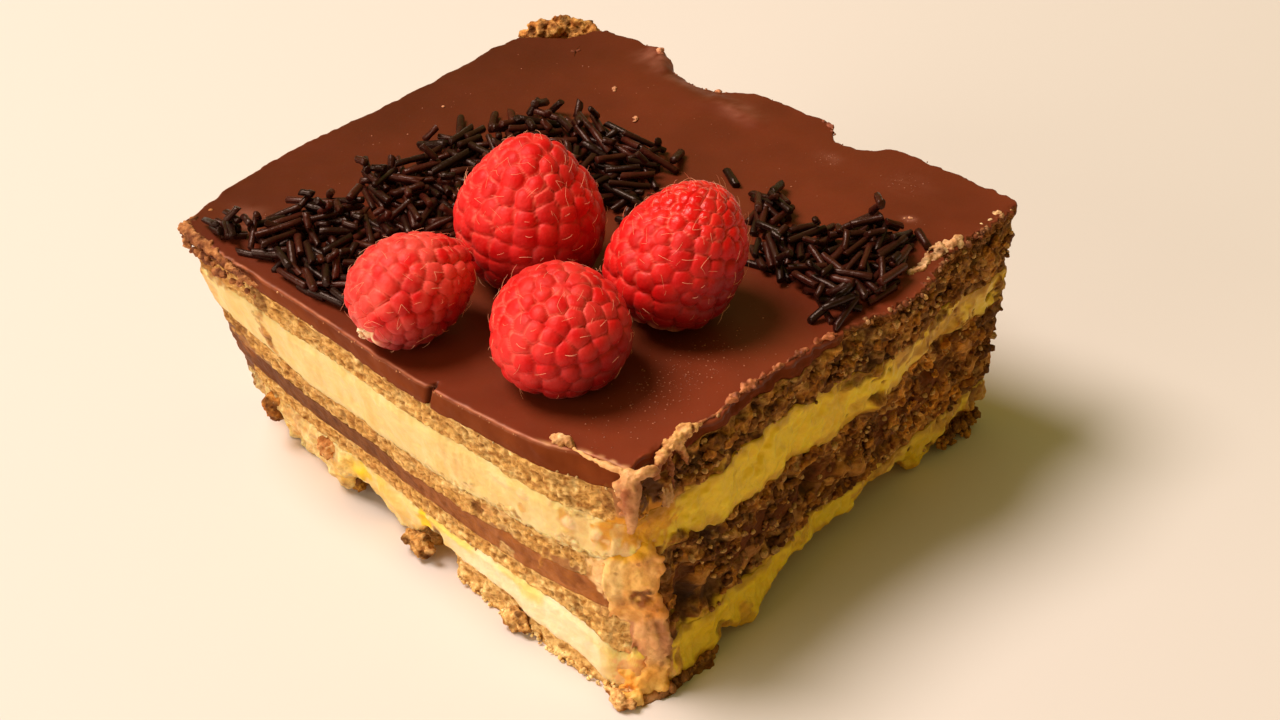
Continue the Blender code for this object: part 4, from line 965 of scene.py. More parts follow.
def glaze_layer():
    rows = 15
    low = SEAM_Z[7]
    q = np.linspace(0, 1, rows)[:, None]
    lipn = np.column_stack([_p[:, 0], _p[:, 1], np.full(NC, 300.0)])
    nick = FRONT_W * (.10 * noise(lipn, 2.5, 411) + .05 * noise(lipn, .7, 412)) \
        + RIGHT_W * (.30 * noise(lipn, 3.0, 411) + .22 * noise(lipn, .9, 412)) + HIDDEN_W * (.15 * noise(lipn, 2.2, 411) + .12 * noise(lipn, .8, 412))
    top_edge = face_point(UC, np.full(NC, HEIGHT), 0, glaze=True)
    sag = glaze_height(top_edge[:, 0], top_edge[:, 1])
    high = HEIGHT - .28 + sag + nick - .25 * RIGHT_W
    z = low + (high - low) * q
    base = face_point(UC, z, glaze=True)
    u = UC + 0 * z
    right, front = RIGHT_W + 0 * z, FRONT_W + 0 * z
    n1 = fbm(base, 3.0, 3, 440)
    n2 = fbm(base, .9, 2, 441)
    buried = right * smooth_step((base[..., 1] + 2 + 2.5 * n1) / 4) * np.clip(1.1 - .5 * smooth_step((q - .75) / .2) * (n2 > .2), 0, 1)
    rim_left = front * smooth_step((-27 - base[..., 0] + 2 * n1) / 3)
    side = lerp(colour(110, 46, 14), colour(128, 58, 20), np.clip(.5 + .5 * n1, 0, 1))
    side = lerp(side, GLAZE_RED * [.9, .9, .5], right * .7)
    side = lerp(side, lerp(TAN_DARK, BROWN, np.clip(.5 + n2, 0, 1)), np.clip(buried * (.9 + .6 * n2), 0, 1))
    side = lerp(side, lerp(colour(150, 92, 58), colour(104, 56, 36), np.clip(.5 + n2, 0, 1)), rim_left * np.clip(.6 + .6 * n1, 0, 1))
    grain = np.clip(buried + .7 * rim_left * np.clip(.4 + n1, 0, 1), 0, 1)
    x = base[..., 0]
    crack = np.exp(-((x - 9.6 - .35 * (z - 37)) / .38) ** 2) * (u < 1)
    # painted shade: the crack is tinted near black as well as cut in
    side = lerp(side, GLAZE_RED * .25, crack)
    line = smooth_step((q - .86) / .1) * np.ones_like(z)
    side = lerp(side, colour(176, 98, 60), line * (.22 * (1 - right)) * np.clip(.7 + .6 * n2, 0, 1))
    push = apply_patches(base, u, side, grain, np.clip(.5 + .6 * n2, 0, 1))
    d = common(base, u) + .12 * smooth_step(q * 3) + push + crumb_relief(base, grain, right, 1 - right - front, 1)[0]
    d = d + (1 - right) * .05 * fbm(base * [1, 1, .5], 1.6, 3, 422)
    teeth = HIDDEN_W * smooth_step((UC - 2.0) / .02) * smooth_step((3.0 - UC) / .02)
    d = d + teeth * (.35 * noise(lipn, 1.5, 431) + .20 * noise(lipn, .7, 432)) * q
    d = d - 1.1 * crack
    pts = face_point(UC, z, d, glaze=True)
    insets = [.09, .19, .31, .48, .7, 1.0, 1.5, 2.2, 3.2, 4.6, 6.0]
    rise = [-.15, -.07, -.03, 0, 0, 0, 0, 0, 0, 0, 0]
    rim = pts[-1]
    rings, tones, grains = [], [], []
    outward = face_point(UC, np.full(NC, HEIGHT), 0, glaze=True)
    for inset, lift in zip(insets, rise):
        w = smooth_step(inset / 2.5)
        ideal = face_point(UC, np.full(NC, HEIGHT), -inset, glaze=True, wide=True)
        local = rim + (ideal - outward)
        p = local * (1 - w) + ideal * w
        zz = HEIGHT + glaze_height(p[:, 0], p[:, 1]) + lift + nick * (1 - smooth_step(inset / .9)) * .8
        cr = np.exp(-((p[:, 0] - 10.5) / .4) ** 2) * (UC < 1) * smooth_step((1.6 - inset) / 1.2)
        zz = zz - .9 * cr
        r = np.column_stack([p[:, :2], zz])
        rings.append(r)
        c = glaze_tone(r)
        edge = smooth_step((.5 - inset) / .4)
        pale = colour(178, 92, 56)
        c = lerp(c, pale, edge * (.50 * FRONT_W + .30 * RIGHT_W + .15 * HIDDEN_W) * np.clip(.6 + .7 * noise(r, 1.2, 444), 0, 1))
        thin = np.exp(-((inset - .20) / .13) ** 2)
        c = lerp(c, colour(232, 150, 112), thin * FRONT_W * (.32 + .12 * smooth_step((r[:, 0] - 8) / 4)) * np.clip(.65 + .8 * noise(r, 1.6, 448), 0, 1))
        c = lerp(c, PEACH, smooth_step((.9 - inset) / .5) * FRONT_W * .65 * smooth_step((r[:, 0] - 28) / 4) * np.clip(.35 + 1.1 * noise(r, .9, 446), 0, 1))
        # painted shade: the crack in the top is tinted near black
        c = lerp(c, GLAZE_RED * .25, cr)
        tones.append(c)
        grains.append(.4 * edge * RIGHT_W * smooth_step((r[:, 1] - 0) / 4))
    grid = np.concatenate([pts] + [r[None] for r in rings])
    tone = np.concatenate([side] + [c[None] for c in tones])
    gr = np.concatenate([grain] + [g[None] for g in grains])
    n = grid.shape[0]
    faces = [tris(grid_faces(n, NC))]
    points = [grid.reshape(-1, 3)]
    colours = [tone.reshape(-1, 3)]
    count = n * NC
    last = (n - 1) * NC
    step = 2
    m = NC // step
    ring = grid[-1]
    inner_ids = []
    for s in np.linspace(1, 0, 44)[1:-1] ** .9:
        p = ring[::step, :2] * s
        r = np.column_stack([p, HEIGHT + glaze_height(p[:, 0], p[:, 1])])
        points.append(r)
        colours.append(glaze_tone(r))
        inner_ids.append(count + np.arange(m))
        count += m
    a = last + np.arange(NC)
    b = inner_ids[0]
    i = np.arange(m)
    o0, o1, o2 = a[(i * step) % NC], a[(i * step + 1) % NC], a[(i * step + 2) % NC]
    i0, i1 = b[i], b[(i + 1) % m]
    faces += [np.stack([o0, o1, i0], 1), np.stack([o1, i1, i0], 1), np.stack([o1, o2, i1], 1)]
    j = (i + 1) % m
    for lo, hi in zip(inner_ids, inner_ids[1:]):
        faces += [np.stack([lo[i], lo[j], hi[j]], 1), np.stack([lo[i], hi[j], hi[i]], 1)]
    points.append(np.array([[0, 0, HEIGHT + float(glaze_height(np.zeros(1), np.zeros(1))[0])], [0, 0, float(low.mean())]]))
    colours.append(np.array([GLAZE_RED, GLAZE_RED]))
    faces.append(np.stack([inner_ids[-1][i], inner_ids[-1][j], np.full(m, count)], 1))
    jj = np.arange(NC)
    faces.append(np.stack([(jj + 1) % NC, jj, np.full(NC, count + 1)], 1))
    total = np.vstack(points)
    grains = np.zeros(len(total))
    grains[:gr.size] = gr.ravel()
    ob = make("chocolate_glaze_look", total, np.vstack(faces), np.vstack(colours), extra={"grain": grains}, materials=[GLAZE, GLAZE_SIDE])
    ob.data.polygons.foreach_set("material_index", (np.vstack(faces).max(1) < (rows - 1) * NC).astype(np.int32))
    return wear(ob, ["chocolate_glaze"])


glaze_layer()


# ------------------------------------------------------------------ smears that stand off the faces
def blob(name, balls, voxel, tone, grain, mat, rough=.12, size=1.0, rounds=4):
    """one skin over many balls (x, y, z, radius)"""
    heap = Heap()
    pts, faces = BALLS[2]
    for x, y, z, r in balls:
        heap.add(pts * r + np.array([x, y, z]), faces, (1, 1, 1))
    ob = heap.build(name + "_core", [])
    mod = ob.modifiers.new("skin", "REMESH")
    mod.mode = "VOXEL"
    mod.voxel_size = voxel * .001
    skin = bpy.data.meshes.new_from_object(ob.evaluated_get(bpy.context.evaluated_depsgraph_get()))
    bpy.data.objects.remove(ob)
    skin.calc_loop_triangles()
    p = np.empty(len(skin.vertices) * 3)
    skin.vertices.foreach_get("co", p)
    p = p.reshape(-1, 3) * 1000 + MIDDLE
    t = np.empty(len(skin.loop_triangles) * 3, dtype=np.int32)
    skin.loop_triangles.foreach_get("vertices", t)
    t = t.reshape(-1, 3)
    e = np.vstack([t[:, [0, 1]], t[:, [1, 2]], t[:, [2, 0]]])
    for _ in range(rounds):
        total = np.zeros_like(p)
        weight = np.zeros(len(p))
        np.add.at(total, e[:, 0], p[e[:, 1]])
        np.add.at(total, e[:, 1], p[e[:, 0]])
        np.add.at(weight, e[:, 0], 1)
        np.add.at(weight, e[:, 1], 1)
        p = p * .45 + .55 * total / np.maximum(weight, 1)[:, None]
    n = np.zeros_like(p)
    fn = np.cross(p[t[:, 1]] - p[t[:, 0]], p[t[:, 2]] - p[t[:, 0]])
    for c in range(3):
        np.add.at(n, t[:, c], fn)
    n /= np.maximum(np.linalg.norm(n, axis=1), 1e-9)[:, None]
    p = p + n * (rough * fbm(p, size, 3, 611) + .5 * rough * noise(p, size * .35, 617))[:, None]
    ob = make(name, p, t, tone(p), extra={"grain": grain(p)}, materials=[mat])
    wear(ob, ())
    return ob


def path(points, step=.35):
    """balls along a line of (x, y, z, r)"""
    out = []
    for a, b in zip(points, points[1:]):
        a, b = np.array(a, float), np.array(b, float)
        n = max(1, int(np.linalg.norm(b[:3] - a[:3]) / step))
        out += [tuple(a + (b - a) * t / n) for t in range(n)]
    return out + [tuple(points[-1])]


def blend_tone(one, two, size, seed, third=None):
    def tone(p):
        c = lerp(one, two, np.clip(.5 + .7 * fbm(p, size, 3, seed), 0, 1))
        if third is not None:
            c = lerp(c, third, np.clip(.2 + 1.2 * fbm(p, size * 1.3, 3, seed + 5), 0, .9))
        return c
    return tone


def tongue_tone(p):
    n1 = fbm(p * [1, 1, .4], 1.6, 3, 621)
    # painted light: the tongue is paler towards its left and along its top, as highlight, and darker on its right side,
    # as shade
    c = lerp(colour(164, 90, 46), colour(236, 174, 114), np.clip(.44 + .8 * n1 - .16 * (p[:, 0] - 43.0) + .01 * (p[:, 2] - 35), 0, 1))
    c = lerp(c, colour(244, 186, 128), np.clip(smooth_step((p[:, 2] - 37.2 + .8 * n1) / 1.4) * .22, 0, 1) * smooth_step((p[:, 0] - 40.6) / 1.2))
    return lerp(c, colour(150, 80, 36), np.clip(.30 * (p[:, 0] - 43.6) + .5 * n1, 0, .8) * smooth_step((38 - p[:, 2]) / 1.5))


# tongue dragged down the front upright, and the beads and rags to its right
blob("corner_tongue", path([(42.4, -41.5, 38.3, 1.1), (42.7, -41.7, 37.1, 1.5), (42.8, -41.7, 35.6, 1.5), (42.8, -41.7, 34.0, 1.2), (42.8, -41.6, 32.4, 1.0), (42.7, -41.4, 30.8, .9), (42.6, -41.3, 29.4, .7)])
     + path([(43.2, -41.4, 38.3, .9), (43.6, -40.6, 38.6, .75), (43.8, -39.6, 38.7, .8), (44.0, -38.8, 38.4, .95)])
     + [(41.7, -42.4, 33.8, .5), (41.9, -42.5, 32.4, .5), (41.2, -42.4, 36.8, .8), (41.6, -42.5, 35.6, .7)]
     + path([(34.0, -42.9, 39.45, .26), (36.5, -42.9, 39.3, .30), (38.6, -42.7, 39.2, .38), (41.0, -42.0, 38.9, .55)], .2),
     .24, tongue_tone, lambda p: np.full(len(p), .12), SMEAR, .22, 1.3, 2)
def ridge_tone(p):
    n1 = noise(p, .9, 691)
    # painted light: paler towards the tops of the knobs as highlight, darker low down as shade
    c = lerp(colour(178, 104, 54), colour(234, 172, 108), np.clip(.58 + 1.1 * n1 + .35 * (p[:, 2] - 38.9), 0, 1))
    return lerp(c, colour(128, 66, 28), np.clip(-1.6 * n1 - .35 + .25 * (38.4 - p[:, 2]), 0, .8))


_knob = np.random.default_rng(77)
blob("corner_ridge", [(42.8 + _knob.normal() * .28, y, 39.3 + .22 * _knob.normal(), _knob.uniform(.35, .7)) for y in np.arange(-34.6, -30.0, .22)] + path([(43.0, -36.9, 35.8, .35), (43.1, -36.7, 37.6, .6), (43.2, -35.6, 38.9, .75), (42.9, -33.0, 39.5, .85), (42.6, -30.8, 39.6, .95), (42.6, -29.4, 39.3, .55), (42.7, -27.0, 39.0, .25)], .3)
     + path([(43.2, -34.6, 38.6, .5), (43.3, -34.2, 35.5, .35), (43.5, -33.8, 32.4, .25)]) + path([(42.9, -32.4, 38.4, .8), (43.2, -31.4, 36.4, .55), (43.4, -31.0, 34.6, .3)]),
     .21, ridge_tone, lambda p: np.clip(.35 + .5 * noise(p, 1.5, 633), 0, 1), SMEAR, .34, .8, 1)


def edge_lip():
    """curled edge of the glaze along the right side, with crumbs caught in it"""
    rng = np.random.default_rng(83)
    u = np.linspace(1 + 11.6 / 84.2, 1 + 39.6 / 84.2, 150)
    wave = np.clip(.5 + .9 * noise(np.column_stack([u * 84, 0 * u, 0 * u]), 3.0, 693), 0, 1)
    balls = []
    for v, w in zip(u, wave):
        i = int(np.argmin(np.abs(UC - v)))
        p = face_point(UC[i:i + 1], np.array([HEIGHT]), -.25, glaze=True)[0]
        balls.append((p[0], p[1], 39.15 + .12 * w, .20 + .16 * w))
    for y, n, spread, r_hi in ((-20.9, 16, .9, .55), (-17.4, 20, 1.1, .62), (-14.6, 7, .6, .40), (-11.0, 9, .8, .42), (-6.6, 8, .8, .40), (-1.4, 12, .9, .50)):
        for _ in range(n):
            v = 1 + (y + spread * rng.normal() * .7 + 41.2) / 84.2
            i = int(np.argmin(np.abs(UC - v)))
            p = face_point(UC[i:i + 1], np.array([HEIGHT]), -.2 + .3 * rng.normal(), glaze=True)[0]
            balls.append((p[0], p[1], 39.35 + .35 * rng.uniform(-.8, 1), rng.uniform(.24, r_hi)))
    blob("edge_lip", balls, .19, blend_tone(colour(150, 72, 42), colour(214, 132, 84), 1.1, 695, colour(104, 44, 22)), lambda p: np.full(len(p), .3), SMEAR, .16, .8, 1)


edge_lip()
blob("corner_strings", sum((path([(44.2 + dx, y, 34.7 - dz, .20), (44.4 + dx, y + .2, 33.2 - dz, .26), (44.4 + dx, y + .1, 31.8 - dz, .32)], .15)
                            for dx, y, dz in ((.0, -36.9, .0), (.02, -36.2, .5), (.0, -35.4, .2))), []),
     .18, blend_tone(colour(170, 112, 60), colour(214, 160, 100), .9, 635), lambda p: np.full(len(p), .2), SMEAR, .14, .7, 1)
blob("edge_crumb", path([(30.4, -43.0, 39.6, .45), (31.6, -42.9, 39.9, .62), (33.0, -42.8, 40.0, .55), (33.9, -42.9, 39.5, .3)], .25) + [(31.2, -43.3, 39.3, .5), (32.2, -43.4, 39.2, .42), (32.6, -42.4, 39.9, .4)],
     .18, blend_tone(PEACH, PEACH_LIGHT, 1.0, 641, TAN_DARK), lambda p: np.full(len(p), .5), BISCUIT, .22, .6, 1)


def skin(u, z, out):
    """points of the cut face, with its unevenness, pushed out a little more"""
    base = face_point(u, z)
    return face_point(u, z, common(base, u) + ridge(base, u) + out) + corner(base)


def smear_tone(p):
    s, z = p[:, 0] - 43.4 + p[:, 1] + 41.8, p[:, 2]
    n1 = fbm(p * [1, 1, .5], 2.6, 3, 671)
    n2 = noise(p, .9, 673)
    n3 = fbm(p, 3.6, 2, 677)
    c = lerp(colour(240, 158, 72), colour(255, 196, 112), np.clip(.45 + .7 * n1, 0, 1))
    c = lerp(c, colour(250, 202, 130), np.clip(.6 + .9 * n3, 0, 1) * bump_up(s, -6.6, -1.8, 1.0) * smooth_step((z - 13) / 2))
    c = lerp(c, colour(206, 120, 40), np.clip(-.8 * n3 - .10 + .3 * n2, 0, .6))
    left = smooth_step((s + 2.0 + .6 * n2) / 1.6)
    low = smooth_step((14.6 - z + 1.4 * n3) / 2.0)
    c = lerp(c, lerp(colour(218, 144, 90), colour(250, 192, 128), np.clip(.5 + .9 * n1, 0, 1)), low * left)
    c = lerp(c, colour(160, 92, 58), low * left * np.clip(1.3 * noise(p * [1, 1, .35], 1.3, 681) - .15, 0, .65))
    c = lerp(c, lerp(colour(170, 98, 46), TAN_LIGHT, np.clip(.4 + 1.0 * n2, 0, 1)), low * (1 - left))
    foot = smooth_step((6.0 - z + .8 * n3) / 1.8)
    c = lerp(c, lerp(colour(252, 206, 118), colour(243, 166, 66), np.clip(.5 + .8 * n1, 0, 1)), foot)
    # the custard's gold at the top is painted deeper, as the shade under the tongue
    c = lerp(c, lerp(colour(228, 150, 12), colour(250, 184, 40), np.clip(.5 + n1, 0, 1)), smooth_step((z - 22.4 + 1.0 * n3) / 1.4) * .95)
    bran = np.exp(-((s - 3.9) / 1.3) ** 2 - ((z - 21.6) / 1.5) ** 2) * 1.6
    c = lerp(c, lerp(colour(200, 130, 62), colour(252, 186, 108), np.clip(.5 + n2, 0, 1)), np.clip(bran, 0, .9))
    c = lerp(c, colour(170, 102, 44), .75 * np.exp(-((s + 2.4) / 1.3) ** 2 - ((z - 15.8) / 1.1) ** 2))
    # painted shade: the sunken pit is darkened towards near black brown
    hole = np.exp(-((s - 1.8) / 2.0) ** 2 - ((z - 16.6) / 1.4) ** 2) * (.75 + 1.0 * noise(p, .7, 683))
    c = lerp(c, lerp(colour(150, 76, 20), colour(92, 44, 12), np.clip(.5 + 1.5 * noise(p, .6, 685), 0, 1)), np.clip(2.1 * hole - .2, 0, .92))
    return lerp(c, colour(150, 78, 26), np.clip(-3.0 * n2 - 1.9, 0, .6))


def corner_smear():
    """cream, custard and crumbs dragged over the front upright by the knife"""
    rng = np.random.default_rng(41)
    balls = []
    for n, s0, s1, z0, z1, r0, r1, lift in ((84, -4.8, 3.9, 14.8, 24.6, .80, 1.35, .10), (64, -4.8, 4.0, 14.6, 24.6, .40, .75, .25), (34, -6.8, -4.8, 17.0, 24.0, .30, .55, -.05),
                                           (90, -.6, 5.2, 6.6, 15.6, .65, 1.15, .20), (26, .6, 5.2, 4.6, 7.4, .60, 1.0, .20), (46, -4.6, -.6, 9.6, 15.4, .40, .80, .10), (22, -6.2, -4.0, 9.8, 14.6, .24, .45, .0),
                                           (50, -1.0, 5.2, .9, 5.0, .60, 1.0, .30), (24, -2.6, 2.4, .6, 3.8, .45, .75, .35), (16, 2.8, 4.9, 19.8, 23.2, .35, .60, .45)):
        s = rng.uniform(s0, s1, n)
        z = rng.uniform(z0, z1, n)
        r = rng.uniform(r0, r1, n)
        keep = ~((z > 4.4) & (z < 12.4) & (s < 1.7 - .42 * (z - 6.6)))
        pit = ((s - 1.8) / 1.9) ** 2 + ((z - 16.6) / 1.3) ** 2 < 1
        sink = .55 * smooth_step((z - 21.6) / 3) + .35 * smooth_step((-2.8 - s) / 2) + 1.0 * pit
        p = skin(1 + s / 85.0, z, lift - sink + .17 * np.maximum(s, 0) + rng.uniform(-.3, .25, n) - .6 * r)
        balls += [(*q, t) for q, t, k in zip(p, r, keep) if k and q[2] - .6 * t > 0]
    for _ in range(26):                                 # and its foot spreads where the slice stands
        a, f, r = rng.uniform(-1.4, 1.3), rng.uniform(-.3, .8), rng.uniform(.45, .80)
        balls.append((43.4 + .755 * a + .656 * f, -41.8 + .656 * a - .755 * f, .85 * r + rng.uniform(0, 1.3) * (1 - .6 * max(f, 0)), r))
    # strings that the knife drew down
    for s, z0, z1, r in ((1.2, 14.5, 7.0, .42), (2.6, 13.5, 6.0, .38), (-.2, 13.0, 8.0, .34), (4.4, 16.0, 7.5, .40), (-3.2, 23.0, 17.0, .40), (-4.4, 22.0, 15.5, .32)):
        t = np.linspace(0, 1, 26)
        z = z0 + (z1 - z0) * t
        p = skin(1 + (s + .35 * np.sin(t * 5 + s)) / 85.0, z, .35 + .17 * max(s, 0) + 0 * t)
        balls += [(*q, r * (.7 + .5 * math.sin(3.1 * k))) for q, k in zip(p, t)]
    blob("corner_smear", balls, .25, smear_tone, lambda p: np.clip(.06 + .22 * noise(p, 1.8, 679), 0, .3), SMEAR, .20, 1.5, 3)


corner_smear()


def rough_rim():
    """crumbly strip that stands along the left end of the front edge"""
    rng = np.random.default_rng(31)
    balls = []
    for x in np.arange(-43.6, -25.0, .34):
        share = (x + 43.6) / 18.6
        y = float(np.interp(x, [-43.6, -40, -36, -31, -25], [-40.6, -41.3, -42.0, -43.0, -43.9]))
        r = 1.0 * (1 - share) + .42 * share
        balls.append((x + .3, y + .45 + rng.normal() * .15, 38.75 + rng.normal() * .2 - .2 * share, .85 * r * rng.uniform(.7, 1.1)))
        if rng.uniform() < .7:
            balls.append((x + .4 + rng.normal() * .3, y + .3 + rng.normal() * .2, 37.4 - rng.uniform(0, 1.4), r * rng.uniform(.45, .75)))
    for t in np.linspace(0, 1, 14):
        balls.append((-43.1 + .1 * rng.normal(), -40.2 + 6.5 * t, 38.7 + .2 * rng.normal(), .75 * (1 - .6 * t) * rng.uniform(.8, 1.1)))
    blob("left_rim", balls, .24, blend_tone(colour(152, 88, 50), colour(206, 140, 90), 1.0, 651, colour(108, 54, 30)),
         lambda p: np.full(len(p), .75), BISCUIT, .34, .9, 1)


rough_rim()


def loose(name, balls, tint, tint2, voxel=.26, rough=.35, size=.9, grain=1.0, dark=BROWN):
    return blob(name, balls, voxel, blend_tone(tint, tint2, 1.0, 661, dark), lambda p: np.full(len(p), grain), BISCUIT, rough, size, 1)


def cluster(rng, centre, radii, n, r_lo, r_hi):
    out = []
    for _ in range(n):
        d = rng.normal(size=3)
        d /= np.linalg.norm(d)
        d *= rng.uniform(0, 1) ** .4
        out.append((centre[0] + d[0] * radii[0], centre[1] + d[1] * radii[1], centre[2] + d[2] * radii[2], rng.uniform(r_lo, r_hi)))
    return out


_rng = np.random.default_rng(5)
def heap_along(rng, a, b, wide, high, n, r_lo, r_hi):
    """balls in a long low heap from a to b"""
    t = rng.uniform(0, 1, n)
    ends = np.sqrt(np.clip(1 - (2 * t - 1) ** 2, .1, 1))
    way = np.array([b[1] - a[1], a[0] - b[0]]) / math.hypot(b[0] - a[0], b[1] - a[1])
    side = rng.uniform(-1, 1, n) * wide * ends
    p = np.column_stack([a[0] + (b[0] - a[0]) * t + way[0] * side, a[1] + (b[1] - a[1]) * t + way[1] * side, a[2] + (b[2] - a[2]) * t + rng.uniform(-1, 1, n) * high * ends])
    return [(*q, r) for q, r in zip(p, rng.uniform(r_lo, r_hi, n))]


def at_front(x, z, out):
    return tuple(skin(np.array([(x + 43.6) / 86.2]), np.array([z]), np.array([out]))[0])


loose("back_lump", heap_along(_rng, (-44.0, 32.6, 38.2), (-35.6, 40.4, 38.2), 1.7, 1.5, 130, .45, .85) + heap_along(_rng, (-43.4, 33.2, 39.7), (-37.2, 38.8, 39.9), 1.0, .8, 60, .3, .55),
      colour(206, 130, 66), colour(236, 176, 104), voxel=.28, rough=.5)
loose("left_foot_lump", cluster(_rng, at_front(-34.6, 6.9, .4), (1.5, 1.2, 1.8), 90, .50, .95), colour(184, 110, 40), colour(222, 152, 72))
loose("front_lump", cluster(_rng, at_front(-20.8, 7.8, .8), (1.6, .9, 1.3), 40, .35, .75), colour(238, 160, 96), colour(254, 206, 146), dark=colour(190, 118, 62))
# painted shade: this lump in the hollow is given darker colours as the hollow's shade
loose("front_lump_low", cluster(_rng, at_front(-17.6, 2.0, -.5), (1.5, .8, 1.0), 24, .4, .65), colour(150, 100, 30), colour(196, 140, 50))
loose("foot_chunk", cluster(_rng, (-.6, -38.0, 2.2), (3.2, 1.0, 1.8), 70, .35, .7), colour(216, 156, 90), colour(240, 190, 124))
loose("foot_chunk_right", cluster(_rng, (21.2, -41.0, 2.0), (2.2, 1.0, 1.7), 46, .35, .7), colour(220, 160, 92), colour(244, 196, 130))
loose("corner_chunk", cluster(_rng, (42.2, -43.2, 1.1), (2.3, 1.1, .9), 50, .35, .75), colour(238, 176, 112), colour(250, 206, 146), dark=colour(176, 112, 58))
loose("edge_lumps", heap_along(_rng, (42.3, 18.0, 39.0), (42.5, 29.4, 39.3), .8, .5, 46, .3, .75) + heap_along(_rng, (42.9, 19.0, 37.8), (42.9, 23.6, 38.4), .5, .9, 26, .35, .7) + heap_along(_rng, (41.4, 22.0, 39.5), (42.0, 29.0, 39.7), .7, .3, 18, .25, .5), colour(226, 160, 112), colour(246, 200, 154), voxel=.22, rough=.3, grain=.5)


def flat_on(u, z, out=0.0):
    return skin(np.array([u]), np.array([z]), np.array([out]))[0]


def hollow_at(side, a, z):
    """true inside a deep torn place of a face"""
    return any(q[0] == side and q[7] < -.6 and ((a - q[1]) / q[3]) ** 2 + ((z - q[2]) / q[4]) ** 2 < 1.7 for q in PATCHES if q[0] != "corner")


def right_chunks():
    """torn pieces of biscuit that stand out of the right side"""
    rng = np.random.default_rng(57)
    heap = Heap()
    made = 0
    while made < 170:
        u = 1.07 + .91 * rng.uniform()
        z = rng.uniform(2.5, 37.5)
        lows = [np.interp(u, UC, SEAM_Z[k]) for k in range(1, 8)]
        if hollow_at("right", -42 + 84 * (u - 1), z) or z < np.interp(u, UC, EDGE) + 1.2 or lows[0] - .5 < z < lows[1] + .7 or lows[4] - .6 < z < lows[5] + .7 or z > lows[6] - .8:
            continue
        size = rng.uniform(.45, 1.15)
        # painted shade: the chunks take the shaded tan of the right side
        tone = lerp(TAN_PAINTED_SHADE, BROWN_DEEP, rng.uniform()) * (1 + .40 * far_band(-42 + 84 * (u - 1), z))
        bare = z < lows[0] and u < 1.6
        crumb(Heap() if bare else heap, rng, flat_on(u, z, -.35 * size + .25), size, tone, 3, .60, (.75, 1.1, .85))
        made += 1
    wear(heap.build("right_chunks", [BISCUIT], grain=1.0), ())


right_chunks()


